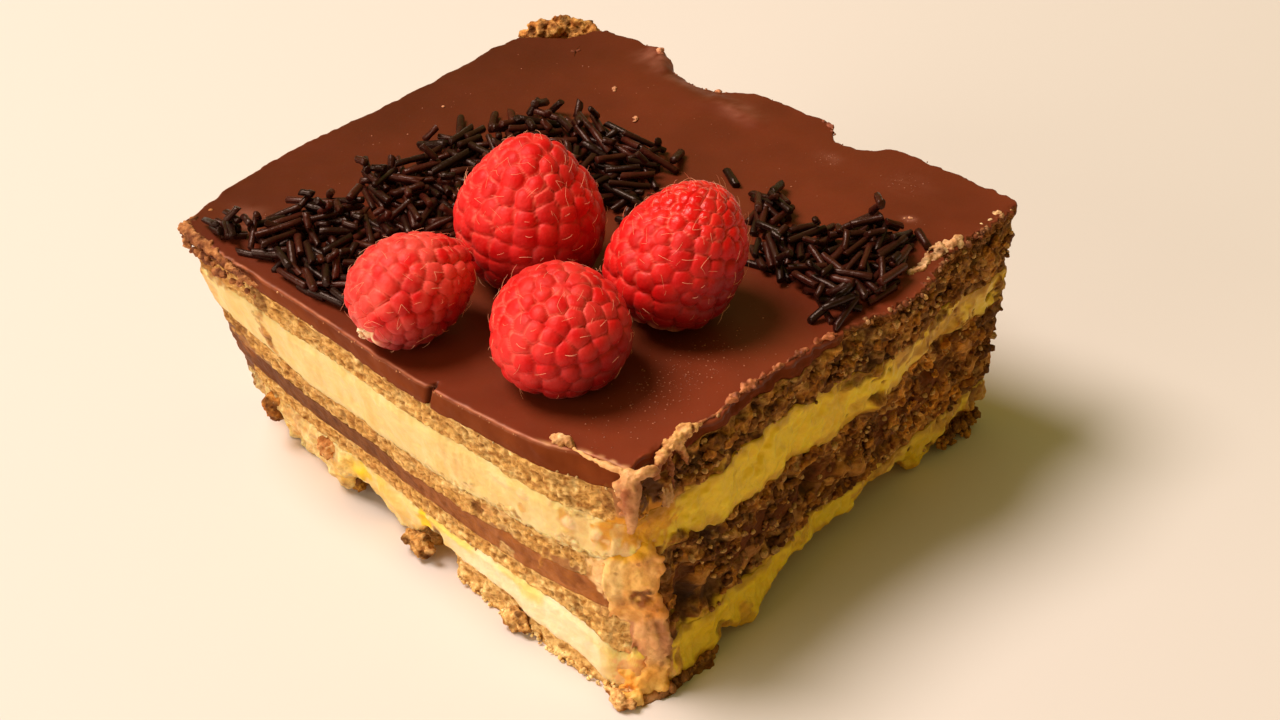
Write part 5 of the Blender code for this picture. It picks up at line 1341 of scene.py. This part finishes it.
def loose_crumbs():
    rng = np.random.default_rng(99)
    heap = Heap()
    made = 0
    while made < 620:                                   # right face
        u = 1.02 + .97 * rng.uniform()
        z = rng.uniform(1.5, 38.6)
        y = -42 + 84 * (u - 1)
        lows = [np.interp(u, UC, SEAM_Z[k]) for k in range(1, 8)]
        in_custard = lows[0] < z < lows[1] or lows[4] < z < lows[5]
        chance = 0 if in_custard and y < 0 else (.04 if in_custard else .9)
        if z > lows[6] - .6 and y < 0:
            chance = 0
        if y < -34 and z < 27:
            chance = .1
        if z < np.interp(u, UC, EDGE) + .5 or rng.uniform() > chance or hollow_at("right", y, z):
            continue
        size = rng.uniform(.18, .46) * (1.5 if rng.uniform() < .12 else 1)
        tone = lerp(lerp(TAN_DARK, BROWN, rng.uniform()), TAN, .55 * (rng.uniform() < .35))
        bare = z < lows[0] and y < 8
        crumb(Heap() if bare else heap, rng, flat_on(u, z, .05 + .25 * size), size, tone, 2 if size > .34 else 1)
        made += 1
    for _ in range(46):                                 # front face, small ones on the seams
        u = rng.uniform(.02, .99)
        k = rng.choice([2, 5, 7])
        z = np.interp(u, UC, SEAM_Z[k]) + rng.normal() * .5
        if z < np.interp(u, UC, EDGE) + .4:
            continue
        crumb(heap, rng, flat_on(u, z, .04), rng.uniform(.12, .26), lerp(TAN_LIGHT, TAN_DARK, rng.uniform()), 1)
    for _ in range(240):                                # along the foot of the front
        u = rng.uniform(.58, 1.0)
        p = face_point(np.array([u]), np.array([[.4]]), rng.uniform(-1.0, .9))[0, 0]
        size = rng.uniform(.16, .42)
        crumb(heap, rng, (p[0], p[1], size * .6 + rng.uniform(0, 1.0)), size, lerp(TAN, TAN_LIGHT, rng.uniform()), 1)
    for _ in range(130):                                # dark heap at the foot of the right side
        y = rng.uniform(-38.2, -26)
        p = (43.6 + rng.uniform(-1.4, 2.6) * (1 - (y + 40) / 30), y)
        size = rng.uniform(.25, .75)
        crumb(heap, rng, (p[0], p[1], size * .6 + rng.uniform(0, .8)), size, lerp(BROWN, TAN_DARK, rng.uniform()))
    for _ in range(56):                                 # under the far end of the right side
        y = rng.uniform(30, 40)
        size = rng.uniform(.25, .65)
        crumb(heap, rng, (40.9 + rng.uniform(-1.2, .7), y, rng.uniform(.4, 3.2)), size, lerp(BROWN, colour(196, 130, 50), rng.uniform()), 2, .5)
    wear(heap.build("loose_crumbs", [CRUMB]), ())
    # pale flakes on the top edge of the right side, and bits on the glaze
    heap = Heap()
    for x, y, z, r, sq in ((42.8, 36.5, 38.9, .7, (1, 1.2, .7)), (42.6, 38.6, 38.8, .8, (1, 1.2, .8)), (42.5, 34.8, 39.0, .45, (1, 1.3, .7))):
        crumb(heap, rng, (x, y, z), r, lerp(PEACH, PEACH_LIGHT, rng.uniform()), 3, .35, sq)
    for x, y, r in ((-21.5, 28.2, .38), (-21.0, 27.7, .22), (-13.4, 23.8, .40), (-13.0, 23.2, .28), (34.0, 29.2, .30), (-37.4, 7.4, .25), (33.4, 28.6, .2)):
        crumb(heap, rng, (x, y, HEIGHT + .08), r, colour(214, 142, 104), 3, .35, (1, 1, .5))
    for _ in range(90):
        y = rng.uniform(4, 42) if rng.uniform() < .9 else rng.uniform(-27, 4)
        q = face_point(np.array([1 + (y + 41.2) / 84.2]), np.array([[38.9]]), rng.normal() * .25)[0, 0]
        crumb(heap, rng, (q[0], q[1], 38.95 + rng.normal() * .2), .12 + .42 * rng.uniform() ** 2, lerp(colour(120, 62, 34), PEACH * .7, rng.uniform() ** 2.5), 1, .4)
    for _ in range(70):                                 # fine crumbs on the broken back edge
        v = 2.16 + .66 * rng.uniform() if rng.uniform() < .6 else 2.66 + .06 * rng.normal()
        i = int(np.clip(np.searchsorted(UC, v), 0, NC - 1))
        q = face_point(UC[i:i + 1], np.array([HEIGHT]), -.15 + .2 * rng.normal(), glaze=True)[0]
        z = HEIGHT - .25 + float(glaze_height(q[:1], q[1:2])[0])
        crumb(heap, rng, (q[0], q[1], z), .10 + .22 * rng.uniform() ** 2, lerp(colour(112, 52, 34), colour(206, 142, 112), rng.uniform() ** 1.5), 1, .4)
    for _ in range(46):
        x = rng.uniform(-24, 42)
        u = (x + 43.6) / 86.2
        p = face_point(np.array([u]), np.array([[39.0]]), .05 + rng.normal() * .15)[0, 0]
        crumb(heap, rng, (p[0], p[1], 38.9 + rng.normal() * .12), rng.uniform(.07, .17), lerp(colour(160, 90, 58), PEACH, rng.uniform()), 1)
    for v, off, r, tone in ((2.768, -.10, .74, (206, 138, 104)), (2.760, -.50, .42, (170, 100, 72)), (2.606, .0, .46, (198, 128, 92)), (2.600, -.3, .28, (176, 110, 80)),
                            (2.392, -.1, .42, (150, 82, 60)), (2.384, .0, .52, (160, 88, 66)), (2.376, -.2, .34, (142, 74, 54)), (2.404, -.1, .30, (150, 82, 60))):
        i = int(np.clip(np.searchsorted(UC, v), 0, NC - 1))
        q = face_point(UC[i:i + 1], np.array([HEIGHT]), off - .15, glaze=True)[0]
        crumb(heap, rng, (q[0], q[1], HEIGHT - .10 + float(glaze_height(q[:1], q[1:2])[0])), r, colour(*tone), 2, .4, (1, 1, .8))
    for x, y, r in ((-33.5, 32.3, .46), (-33.1, 33.0, .42)):
        crumb(heap, rng, (x, y, HEIGHT + float(glaze_height(np.array([x]), np.array([y]))[0])), r, colour(120, 58, 36), 2, .2, (1, 1, .35))
    wear(heap.build("edge_flakes", [CRUMB]), ())
    # tiny bubbles and dew on the glaze
    heap = Heap()
    for (cx, cy), (rx, ry), n in (((34, -21), (5.0, 14), 380), ((35.5, -36), (6, 4), 24), ((-37.2, -33.2), (3.2, 3.0), 50), ((15.3, 33.8), (1.6, 1.6), 26),
                                  ((28, 36), (3.6, 2.4), 40), ((34.2, 28.6), (1.2, .8), 12), ((0, 28), (38, 10), 60), ((-37, 5), (5, 30), 30)):
        for _ in range(n):
            x, y = cx + rng.normal() * rx * .55, cy + rng.normal() * ry * .5
            if not (-42 < x < 42 and -42 < y < 40):
                continue
            r = .045 + .11 * rng.uniform() ** 2
            pts, faces = BALLS[1]
            z = HEIGHT + float(glaze_height(np.array([x]), np.array([y]))[0])
            heap.add(pts * [r, r, r * .5] + [x, y, z], faces, lerp(colour(128, 58, 34), colour(190, 116, 88), rng.uniform() ** 1.5))
    wear(heap.build("glaze_bubbles", [DEW]), ())


loose_crumbs()

# ------------------------------------------------------------------ raspberries
BERRIES = {
    "raspberry_back": dict(at=(2.57, -16.70), a=10.5, l=21.6, axis=(.032, .054, .998), taper=1.0, size=3.25, wet=.15, seed=3, tip=.80, nub=.85, veil=.12, mouth=.36),
    "raspberry_right": dict(at=(23.92, -10.85), a=9.4, l=19.6, axis=(.058, .359, .931), taper=.8, size=3.1, wet=.5, seed=8, tip=.66, nub=.2, veil=.10, mouth=.36, lean=(1.3, 1.5, 0)),
    "raspberry_left": dict(at=(.43, -38.20), a=7.6, l=18.2, axis=(.216, .954, .210), taper=.5, size=2.7, wet=.2, seed=5, tip=.8, nub=.1, veil=.50, mouth=.13),
    "raspberry_front": dict(at=(22.03, -31.90), a=9.7, l=15.8, axis=(.195, -.151, .969), taper=.6, size=3.1, wet=.2, seed=9, tip=.8, nub=.0, veil=.20, mouth=.36),
}


def berry_shape(spec):
    axis = np.array(spec["axis"], float)
    axis /= np.linalg.norm(axis)
    side = np.cross(axis, [0, 0, 1.0]) if abs(axis[2]) < .95 else np.cross(axis, [1.0, 0, 0])
    side /= np.linalg.norm(side)
    other = np.cross(axis, side)
    taper = spec["taper"]
    widest = (math.sin(1.40) ** .85) * (1 + .16 * taper * math.cos(1.40))

    def at(angle, turn):
        r = spec["a"] * np.sin(angle) ** .85 * (1 + .16 * taper * np.cos(angle)) / widest
        h = spec["l"] * -.5 * np.cos(angle)
        r = r[..., None] if np.ndim(r) else r
        h = h[..., None] if np.ndim(h) else h
        bend = (h / spec["l"] + .5) ** 2 * np.array(spec.get("lean", (0, 0, 0)), float)
        return r * (np.cos(turn)[..., None] * side + np.sin(turn)[..., None] * other) + h * axis + bend
    return axis, side, other, at


def berry(name, spec):
    rng = np.random.default_rng(spec["seed"])
    axis, side, other, at = berry_shape(spec)
    rows, cols = 124, 196
    angle = np.linspace(spec["mouth"], 3.05, rows)
    turn = np.arange(cols) * 2 * math.pi / cols
    A, T = np.meshgrid(angle, turn, indexing="ij")
    base = at(A, T)
    # drupelet places: rows up the berry, each set half a place on
    arc = np.cumsum(np.r_[0, np.linalg.norm(np.diff(base[:, 0], axis=0), axis=1)])
    centres, sizes = [], []
    s = .7
    row = 0
    while s < arc[-1] + .3:
        share = s / arc[-1]
        size = spec["size"] * (1.08 - (1 - spec["tip"]) * 1.3 * share ** 2)
        ang = np.interp(s, arc, angle)
        radius = np.linalg.norm(base[int(np.argmin(abs(angle - ang)))][0] - axis * (base[int(np.argmin(abs(angle - ang)))][0] @ axis))
        count = max(3, int(round(2 * math.pi * radius / size)))
        for c in range(count):
            t = (c + .5 * (row % 2) + rng.normal() * .14) / count * 2 * math.pi
            w = float(np.clip(ang + rng.normal() * .036, spec["mouth"] + .04, 3.04))
            centres.append(at(np.array(w), np.array(t)))
            sizes.append(size * rng.uniform(.82, 1.20))
        s += size * .80
        row += 1
    lean = np.array(spec.get("lean", (0, 0, 0)), float)
    centres.append(axis * spec["l"] * .5 + lean)
    sizes.append(spec["size"] * .6)
    centres = np.array(centres).reshape(-1, 3)
    sizes = np.array(sizes)
    flat = base.reshape(-1, 3)
    dist = np.linalg.norm(flat[:, None] - centres[None], axis=2) / (sizes / spec["size"])[None]
    order = np.argpartition(dist, 2, axis=1)[:, :3]
    near = np.take_along_axis(dist, order, 1)
    near.sort(axis=1)
    f1, f2 = near[:, 0], near[:, 1]
    who = np.argmin(dist, axis=1)
    e = np.clip((f2 - f1) / (spec["size"] * .8), 0, 1)
    full = spec["size"] * .60
    dome = np.sqrt(np.clip(1 - (f1 / full) ** 2, .04, 1)) - .16 * np.exp(-(e / .10) ** 2)
    du = np.gradient(base, axis=0)
    dv = np.roll(base, -1, 1) - np.roll(base, 1, 1)
    n = np.cross(dv, du).reshape(-1, 3)
    n /= np.linalg.norm(n, axis=1)[:, None]
    n *= np.sign((n * (flat - axis * (flat @ axis)[:, None] * .5)).sum(1))[:, None]
    depth = .80
    tips = smooth_step((angle - 2.75) / .3)[:, None] * np.ones(cols)
    lift = (dome - .80) * depth * (1 - .35 * tips.ravel())
    lift = lift + spec["nub"] * (np.exp(-((A - 3.14) / .42) ** 2) - .55 * np.exp(-((A - 2.35) / .35) ** 2)).ravel()
    big = .35 * noise(flat + spec["seed"] * 31, 9.0, 500)
    pts = flat + n * (lift + big + .04 * noise(flat, .9, 501))[:, None]
    # hollow at the stalk end
    lip = at(np.full(cols, spec["mouth"] - .06), turn) * 1.0
    rimr = np.linalg.norm(lip[0] - axis * (lip[0] @ axis))
    ring = [lip * 1.0]
    for rr, hh in ((.78, .25), (.60, 1.6), (.45, 3.2), (.20, 4.2)) if spec["mouth"] > .3 else ((.78, .1), (.60, .3), (.45, .45), (.20, .5)):
        ring.append(axis * (-spec["l"] * .5 + .25 + hh) + rimr * rr * (np.cos(turn)[:, None] * side + np.sin(turn)[:, None] * other))
    hollow = np.concatenate([r[None] for r in ring[::-1]])
    grid = np.concatenate([hollow, pts.reshape(rows, cols, 3)])
    points = grid.reshape(-1, 3)
    nh = len(hollow)
    # colour: deep red, with a thin paler wall beside each join, a painted highlight that fades on the lower, shaded
    # side
    red = lerp(colour(206, 2, 6), colour(228, 10, 12), np.clip(.5 + .6 * noise(flat + 7, 3.5, 510), 0, 1))
    red = lerp(red, colour(186, 6, 12), np.clip(rng.uniform(0, 1, len(centres))[who] - .55, 0, .45))
    # the pink veil is the fuzz's pale haze, painted as its sheen
    red = lerp(red, colour(250, 96, 84), spec["veil"] * np.clip(.6 + .9 * fbm(flat, 2.2, 3, 512), 0, 1))
    wall = np.exp(-((e - .11) / .07) ** 2) * np.clip(.6 + .9 * noise(flat, 1.6, 513), 0, 1)
    # painted shade: this grows towards the lower right of the berry, away from the key light
    painted_shade_side = flat @ (np.array([.50, .10, -.86]) / spec["a"])
    wall = wall * (1 - .85 * smooth_step((painted_shade_side + .45) / .7))
    skin_tone = lerp(red, colour(255, 118, 98), .55 * wall)
    skin_tone = lerp(skin_tone, colour(190, 20, 20), .35 * np.exp(-(e / .035) ** 2))
    # painted shade: the skin is darkened towards its lower right
    skin_tone = skin_tone * (1 - .70 * smooth_step((painted_shade_side + .05) / .95))[:, None]
    inside = np.broadcast_to(colour(226, 92, 84), (nh * cols, 3))
    tint = np.vstack([inside, skin_tone])
    # the rim of the hollow is pale where the stalk came away
    rim_show = smooth_step((.62 - A) / .22).ravel() * (spec["mouth"] > .3)
    tint[nh * cols:] = lerp(tint[nh * cols:], colour(246, 178, 150), rim_show * np.clip(.35 + .8 * noise(flat, 1.3, 511), 0, 1))
    if name == "raspberry_left":        # pale seeds and a bruised patch low at the stalk end
        spot = np.exp(-(np.linalg.norm(flat - np.array([-.9, -8.1, -4.3]), axis=1) / 1.8) ** 2)
        tint[nh * cols:] = lerp(tint[nh * cols:], colour(255, 214, 172), np.clip(spot * (.3 + 1.4 * noise(flat, .9, 515)), 0, .9))
    wet = np.zeros(len(points))
    wet[nh * cols:] = spec["wet"] * np.clip(.5 + .9 * noise(flat, 3.0, 520), 0, 1)
    if name == "raspberry_right":
        wet[nh * cols:] = np.maximum(wet[nh * cols:], smooth_step((A.ravel() - 1.9) / .6))
    total = nh + rows
    faces = [tris(grid_faces(total, cols))]
    c0 = len(points)
    points = np.vstack([points, [axis * (-spec["l"] * .5 + (4.5 if spec["mouth"] > .3 else .8)), axis * (spec["l"] * .5 + .25) + lean]])
    tint = np.vstack([tint, tint[:1], tint[-1:]])
    wet = np.r_[wet, 0, wet[-1]]
    j = np.arange(cols)
    kx = (j + 1) % cols
    faces += [np.stack([kx, j, np.full(cols, c0)], 1), np.stack([(total - 1) * cols + j, (total - 1) * cols + kx, np.full(cols, c0 + 1)], 1)]
    faces = np.vstack(faces)
    centre = np.array([spec["at"][0], spec["at"][1], 0.0])
    low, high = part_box(name)
    centre[2] = (low[2] + high[2]) * 500
    own = points + centre
    own[:, 2] += HEIGHT - .25 - own[:, 2].min()
    shift = own.mean(0) - points.mean(0)
    own[:, 2] = np.maximum(own[:, 2], HEIGHT - .05)
    ob = make(name + "_look", own, faces, tint, extra={"wet": wet}, materials=[BERRY])
    wear(ob, [name])
    # fine hairs, one from the top of most drupelets
    heap = Heap()
    for k, c in enumerate(np.vstack([centres, centres])):
        if rng.uniform() < .50 or (c + shift)[2] < HEIGHT + 1.0:
            continue
        out = c - axis * (c @ axis) * .6
        out /= np.linalg.norm(out)
        start = pts[int(np.argmin(((flat - c) ** 2).sum(1)))] - out * .08
        way = np.cross(out, rng.normal(size=3))
        way /= np.linalg.norm(way)
        bend = np.cross(out, way)
        length = rng.uniform(.6, 2.3)
        steps = np.linspace(0, 1, 7)
        curl = rng.uniform(-.8, .8)
        line = start + out * (.10 + .30 * np.sin(steps * math.pi * .75))[:, None] * rng.uniform(.3, 1.0) \
            + way * (steps * length)[:, None] + bend * (curl * steps ** 2 * length * .5)[:, None]
        r = .034 * (1 - .6 * steps)
        tube = []
        for p, rad in zip(line, r):
            for a in (0, 2.094, 4.189):
                tube.append(p + rad * (math.cos(a) * out + math.sin(a) * bend))
        f = []
        for i in range(6):
            for a in range(3):
                b = (a + 1) % 3
                f += [(i * 3 + a, i * 3 + b, i * 3 + 3 + b), (i * 3 + a, i * 3 + 3 + b, i * 3 + 3 + a)]
        heap.add(np.array(tube) + shift, f, colour(248, 168, 132))
    wear(heap.build(name + "_hairs", [HAIR]), ())
    if name == "raspberry_left":        # pale seeds low at the stalk end
        heap = Heap()
        skin_points = own[nh * cols:nh * cols + rows * cols]
        picks = np.flatnonzero(spot > .55)
        for i in rng.choice(picks, 9, replace=False):
            crumb(heap, rng, skin_points[i] + .08 * n[i], rng.uniform(.26, .42), lerp(colour(255, 196, 150), colour(255, 226, 190), rng.uniform()), 2, .25, (.8, 1.2, .8))
        wear(heap.build(name + "_seeds", [HAIR]), ())
    return centres + shift


BERRY_CENTRES = {name: berry(name, spec) for name, spec in BERRIES.items()}


# ------------------------------------------------------------------ sprinkles
def inside(poly, x, y):
    poly = np.array(poly, float)
    a, b = poly, np.roll(poly, -1, 0)
    hit = ((a[:, 1] > y) != (b[:, 1] > y)) & (x < (b[:, 0] - a[:, 0]) * (y - a[:, 1]) / (b[:, 1] - a[:, 1] + 1e-12) + a[:, 0])
    return hit.sum() % 2 == 1


def sprinkles():
    rng = np.random.default_rng(77)
    cell, size = .4, 240
    height = np.full((size, size), HEIGHT - .05)
    heap = Heap()
    sides, rings = 8, 7
    ring = np.arange(sides) * 2 * math.pi / sides
    t = np.linspace(-.5, .5, 15)
    slopes = np.linspace(-.5, .5, 17)

    def cells_under(x, y, way, length):
        xs = x + math.cos(way) * t * length
        ys = y + math.sin(way) * t * length
        return np.clip(((xs + 48) / cell).astype(int), 0, size - 1), np.clip(((ys + 48) / cell).astype(int), 0, size - 1)

    def rest(x, y, way, length):
        """height of the middle and slope with which a strand lies on what is under it"""
        i, j = cells_under(x, y, way, length)
        h = height[i, j]
        need = (h[None, :] - slopes[:, None] * t[None, :] * length).max(1)
        k = int(np.argmin(need + .35 * np.abs(slopes)))
        return need[k], slopes[k]

    def strand(x, y, way, length, radius, steep=None):
        mid, slope = rest(x, y, way, length)
        if steep is not None:           # one that stands up between the others
            mid, slope = np.percentile(height[cells_under(x, y, way, length)], 30) + .45 * steep * length, steep
        zs = mid + radius * .92 + slope * t * length
        i, j = cells_under(x, y, way, length)
        for di in (-1, 0, 1):
            for dj in (-1, 0, 1):
                ii, jj = np.clip(i + di, 0, size - 1), np.clip(j + dj, 0, size - 1)
                np.maximum.at(height, (ii, jj), zs + radius * (.55 if di or dj else .80))
        d = np.array([math.cos(way), math.sin(way)])
        bend = rng.normal() * .035 * length
        s = np.linspace(-.5, .5, rings)
        s[1], s[-2] = -.49, .49
        line = np.column_stack([x + d[0] * s * length - d[1] * bend * (4 * s * s - 1) * .25,
                                y + d[1] * s * length + d[0] * bend * (4 * s * s - 1) * .25, np.interp(s, t, zs)])
        axis = np.array([d[0], d[1], slope])
        axis /= np.linalg.norm(axis)
        across = np.array([-d[1], d[0], 0.0])
        up = np.cross(axis, across)
        radii = radius * np.array([.93, 1.0, 1.02, .98, 1.0, 1.0, .93]) * rng.uniform(.95, 1.05, rings)
        pts = []
        skew = rng.normal(size=2) * .30
        for n, (p, r) in enumerate(zip(line, radii)):
            wob = r * (1 + .05 * rng.normal(size=sides))
            q = p + np.outer(np.cos(ring) * wob, across) + np.outer(np.sin(ring) * wob, up)
            if n in (0, 1, rings - 2, rings - 1):          # broken ends are cut a little askew
                q = q + np.outer((np.cos(ring) * skew[0] + np.sin(ring) * skew[1]) * radius, axis)
            pts.append(q)
        pts = np.vstack(pts + [line[0] - axis * radius * .05, line[-1] + axis * radius * .05])
        n0 = rings * sides
        f = [tuple(v) for v in tris(grid_faces(rings, sides))]
        for a in range(sides):
            b = (a + 1) % sides
            f += [(b, a, n0), ((rings - 1) * sides + a, (rings - 1) * sides + b, n0 + 1)]
        heap.add(pts, np.array(f), lerp(colour(30, 9, 6), colour(68, 23, 15), rng.uniform() ** 1.5))

    def clear(x, y, way, length):
        for k in (-.5, -.25, 0, .25, .5):
            px, py = x + math.cos(way) * length * k, y + math.sin(way) * length * k
            if not (-42.6 < px < 43.4 and -41.6 < py < 40):
                return False
            for spec in BERRIES.values():
                if math.hypot(px - spec["at"][0], py - spec["at"][1]) < spec["a"] * .74:
                    return False
        return True

    beds = [
        ([(-39.2, -39.6), (-35.0, -39.8), (-34.2, -36.6), (-38.0, -36.0)], 9, 3.0, 4.6),
        ([(-34, -37), (-33, -32), (-31, -25), (-27, -22), (-19, -23), (-8, -30), (-8, -40.5), (-18, -41), (-30, -39.5)], 128, 4.2, 7.0),
        ([(-31.5, -16), (-28, -9), (-27, -5), (-30, 0), (-26, 3), (-18, 4), (-10, 0), (-8, -14), (-14, -22), (-21, -22), (-27, -19)], 134, 4.0, 6.8),
        ([(-26, 3), (-23, 11), (-21, 14.5), (-14, 17), (-4, 18), (0, 14), (2, 5), (-4, -2), (-16, 2)], 110, 4.0, 6.8),
        ([(2, 6), (8, 14), (12, 8), (10, 0), (4, -2)], 12, 3.8, 6.0),
        ([(15, 19.5), (20.5, 19.5), (22.6, 15), (20, 11), (16, 13)], 14, 3.6, 5.6),
        ([(22.5, 9), (23.5, 12.5), (28, 17.5), (32, 14), (31, 5), (25, 4.5)], 30, 4.0, 6.6),
        ([(31, 20), (33, 24), (38.5, 22.5), (43.2, 15), (43.4, 4), (41, 2.2), (35, 3.8), (30, 5), (30.5, 14)], 98, 4.0, 6.8),
    ]
    for poly, n, short, long in beds:
        lo, hi = np.min(poly, 0), np.max(poly, 0)
        for _ in range(n):
            best = None
            for _try in range(18):
                x, y = rng.uniform(lo[0], hi[0]), rng.uniform(lo[1], hi[1])
                way = rng.uniform(0, math.pi)
                length = rng.uniform(short, long)
                if not inside(poly, x, y) or not clear(x, y, way, length):
                    continue
                ends = sum(not inside(poly, x + k * math.cos(way) * length, y + k * math.sin(way) * length) for k in (-.42, .42))
                mid, slope = rest(x, y, way, length)
                score = mid + .5 * ends + .6 * abs(slope)
                if best is None or score < best[0]:
                    best = (score, mid, x, y, way, length)
            if best is not None and best[1] < HEIGHT + 2.6:
                strand(*best[2:], rng.uniform(.46, .60))
    for x, y, way, length in ((-.6, 18.4, 2.0, 4.4), (8.4, 20.0, 2.6, 4.2), (29.9, 22.8, 1.15, 6.2), (-31.4, 4.8, 2.3, 3.6), (-28.2, 8.6, 2.2, 4.0),
                              (-24.0, 14.4, 1.9, 4.0), (-27.0, 11.4, 2.4, 3.4), (-29.6, -2.8, .2, 4.6), (-31.0, -15.2, 2.5, 3.0), (16.2, 20.8, 1.9, 4.0),
                              (-31.0, -22.6, 2.3, 3.0), (39.4, 25.0, 2.7, 3.0), (-26.4, -22.2, 1.9, 3.6)):
        if clear(x, y, way, length):
            strand(x, y, way, length, rng.uniform(.56, .66))
    # broken short bits, and a few that stand up
    for poly, n, short, long in beds:
        lo, hi = np.min(poly, 0), np.max(poly, 0)
        for k in range(n // 5):
            x, y, way = rng.uniform(lo[0], hi[0]), rng.uniform(lo[1], hi[1]), rng.uniform(0, 2 * math.pi)
            if inside(poly, x, y) and clear(x, y, way, 2.2):
                strand(x, y, way, rng.uniform(1.4, 2.6), rng.uniform(.46, .58), None if k % 3 else rng.uniform(.7, 1.2))
    for x, y, way, length, steep in ((-30.9, -2.0, .8, 2.0, 1.1), (-30.2, -11.0, 2.2, 1.6, 1.3), (-25.4, 14.5, 1.2, 1.8, 1.2), (-23.2, 17.0, .4, 1.7, 1.2),
                                     (-35.6, -37.4, 1.0, 1.8, 1.0), (-20.0, 18.4, 2.0, 2.0, 1.0)):
        strand(x, y, way, length, rng.uniform(.50, .60), steep)
    wear(heap.build("sprinkles", [SPRINKLE]), ())


sprinkles()

# ------------------------------------------------------------------ camera, lights, floor
AZIMUTH, ELEVATION = math.radians(41.0), math.radians(35.8)
back = Vector((math.sin(AZIMUTH) * math.cos(ELEVATION), -math.cos(AZIMUTH) * math.cos(ELEVATION), math.sin(ELEVATION)))
right_v = Vector((math.cos(AZIMUTH), math.sin(AZIMUTH), 0))
up_v = back.cross(right_v)
camera = bpy.data.objects.new("camera", bpy.data.cameras.new("camera"))
bpy.context.scene.collection.objects.link(camera)
camera.data.sensor_width = 36
camera.data.lens = 96.72
eye = (np.array([274.143, -305.957, 310.427]) - MIDDLE) * .001
camera.matrix_world = Matrix(((right_v.x, up_v.x, back.x, eye[0]), (right_v.y, up_v.y, back.y, eye[1]),
                              (right_v.z, up_v.z, back.z, eye[2]), (0, 0, 0, 1)))
camera.data.clip_start = .01
camera.data.clip_end = 20
bpy.context.scene.camera = camera

bpy.ops.mesh.primitive_plane_add(size=6, location=(0, 0, 0))
floor = bpy.context.object
floor.name = "floor"
m, nt, s = new_material("floor")
s.inputs["Base Color"].default_value = (.77, .675, .655, 1)
s.inputs["Roughness"].default_value = .6
s.inputs["Specular IOR Level"].default_value = .2
floor.data.materials.append(m)


def softbox(name, towards, distance, size, power, tone):
    data = bpy.data.lights.new(name, "AREA")
    data.shape = "DISK"
    data.size = size
    data.energy = power
    data.color = tone
    ob = bpy.data.objects.new(name, data)
    bpy.context.scene.collection.objects.link(ob)
    d = Vector(towards).normalized()
    ob.location = d * distance
    ob.rotation_mode = "QUATERNION"
    ob.rotation_quaternion = d.to_track_quat("Z", "Y")
    return ob


softbox("key", (-.40, -.26, .88), 1.3, .66, 19.6, (1.0, .92, .84))
softbox("front_fill", (-.22, -.94, .28), 1.5, 1.0, 10.0, (1.0, .90, .78))
world = bpy.data.worlds.new("studio")
bpy.context.scene.world = world
world.use_nodes = True
world.node_tree.nodes["Background"].inputs[0].default_value = (1.0, .88, .24, 1)
world.node_tree.nodes["Background"].inputs[1].default_value = .25
bpy.context.scene.view_settings.view_transform = "Standard"
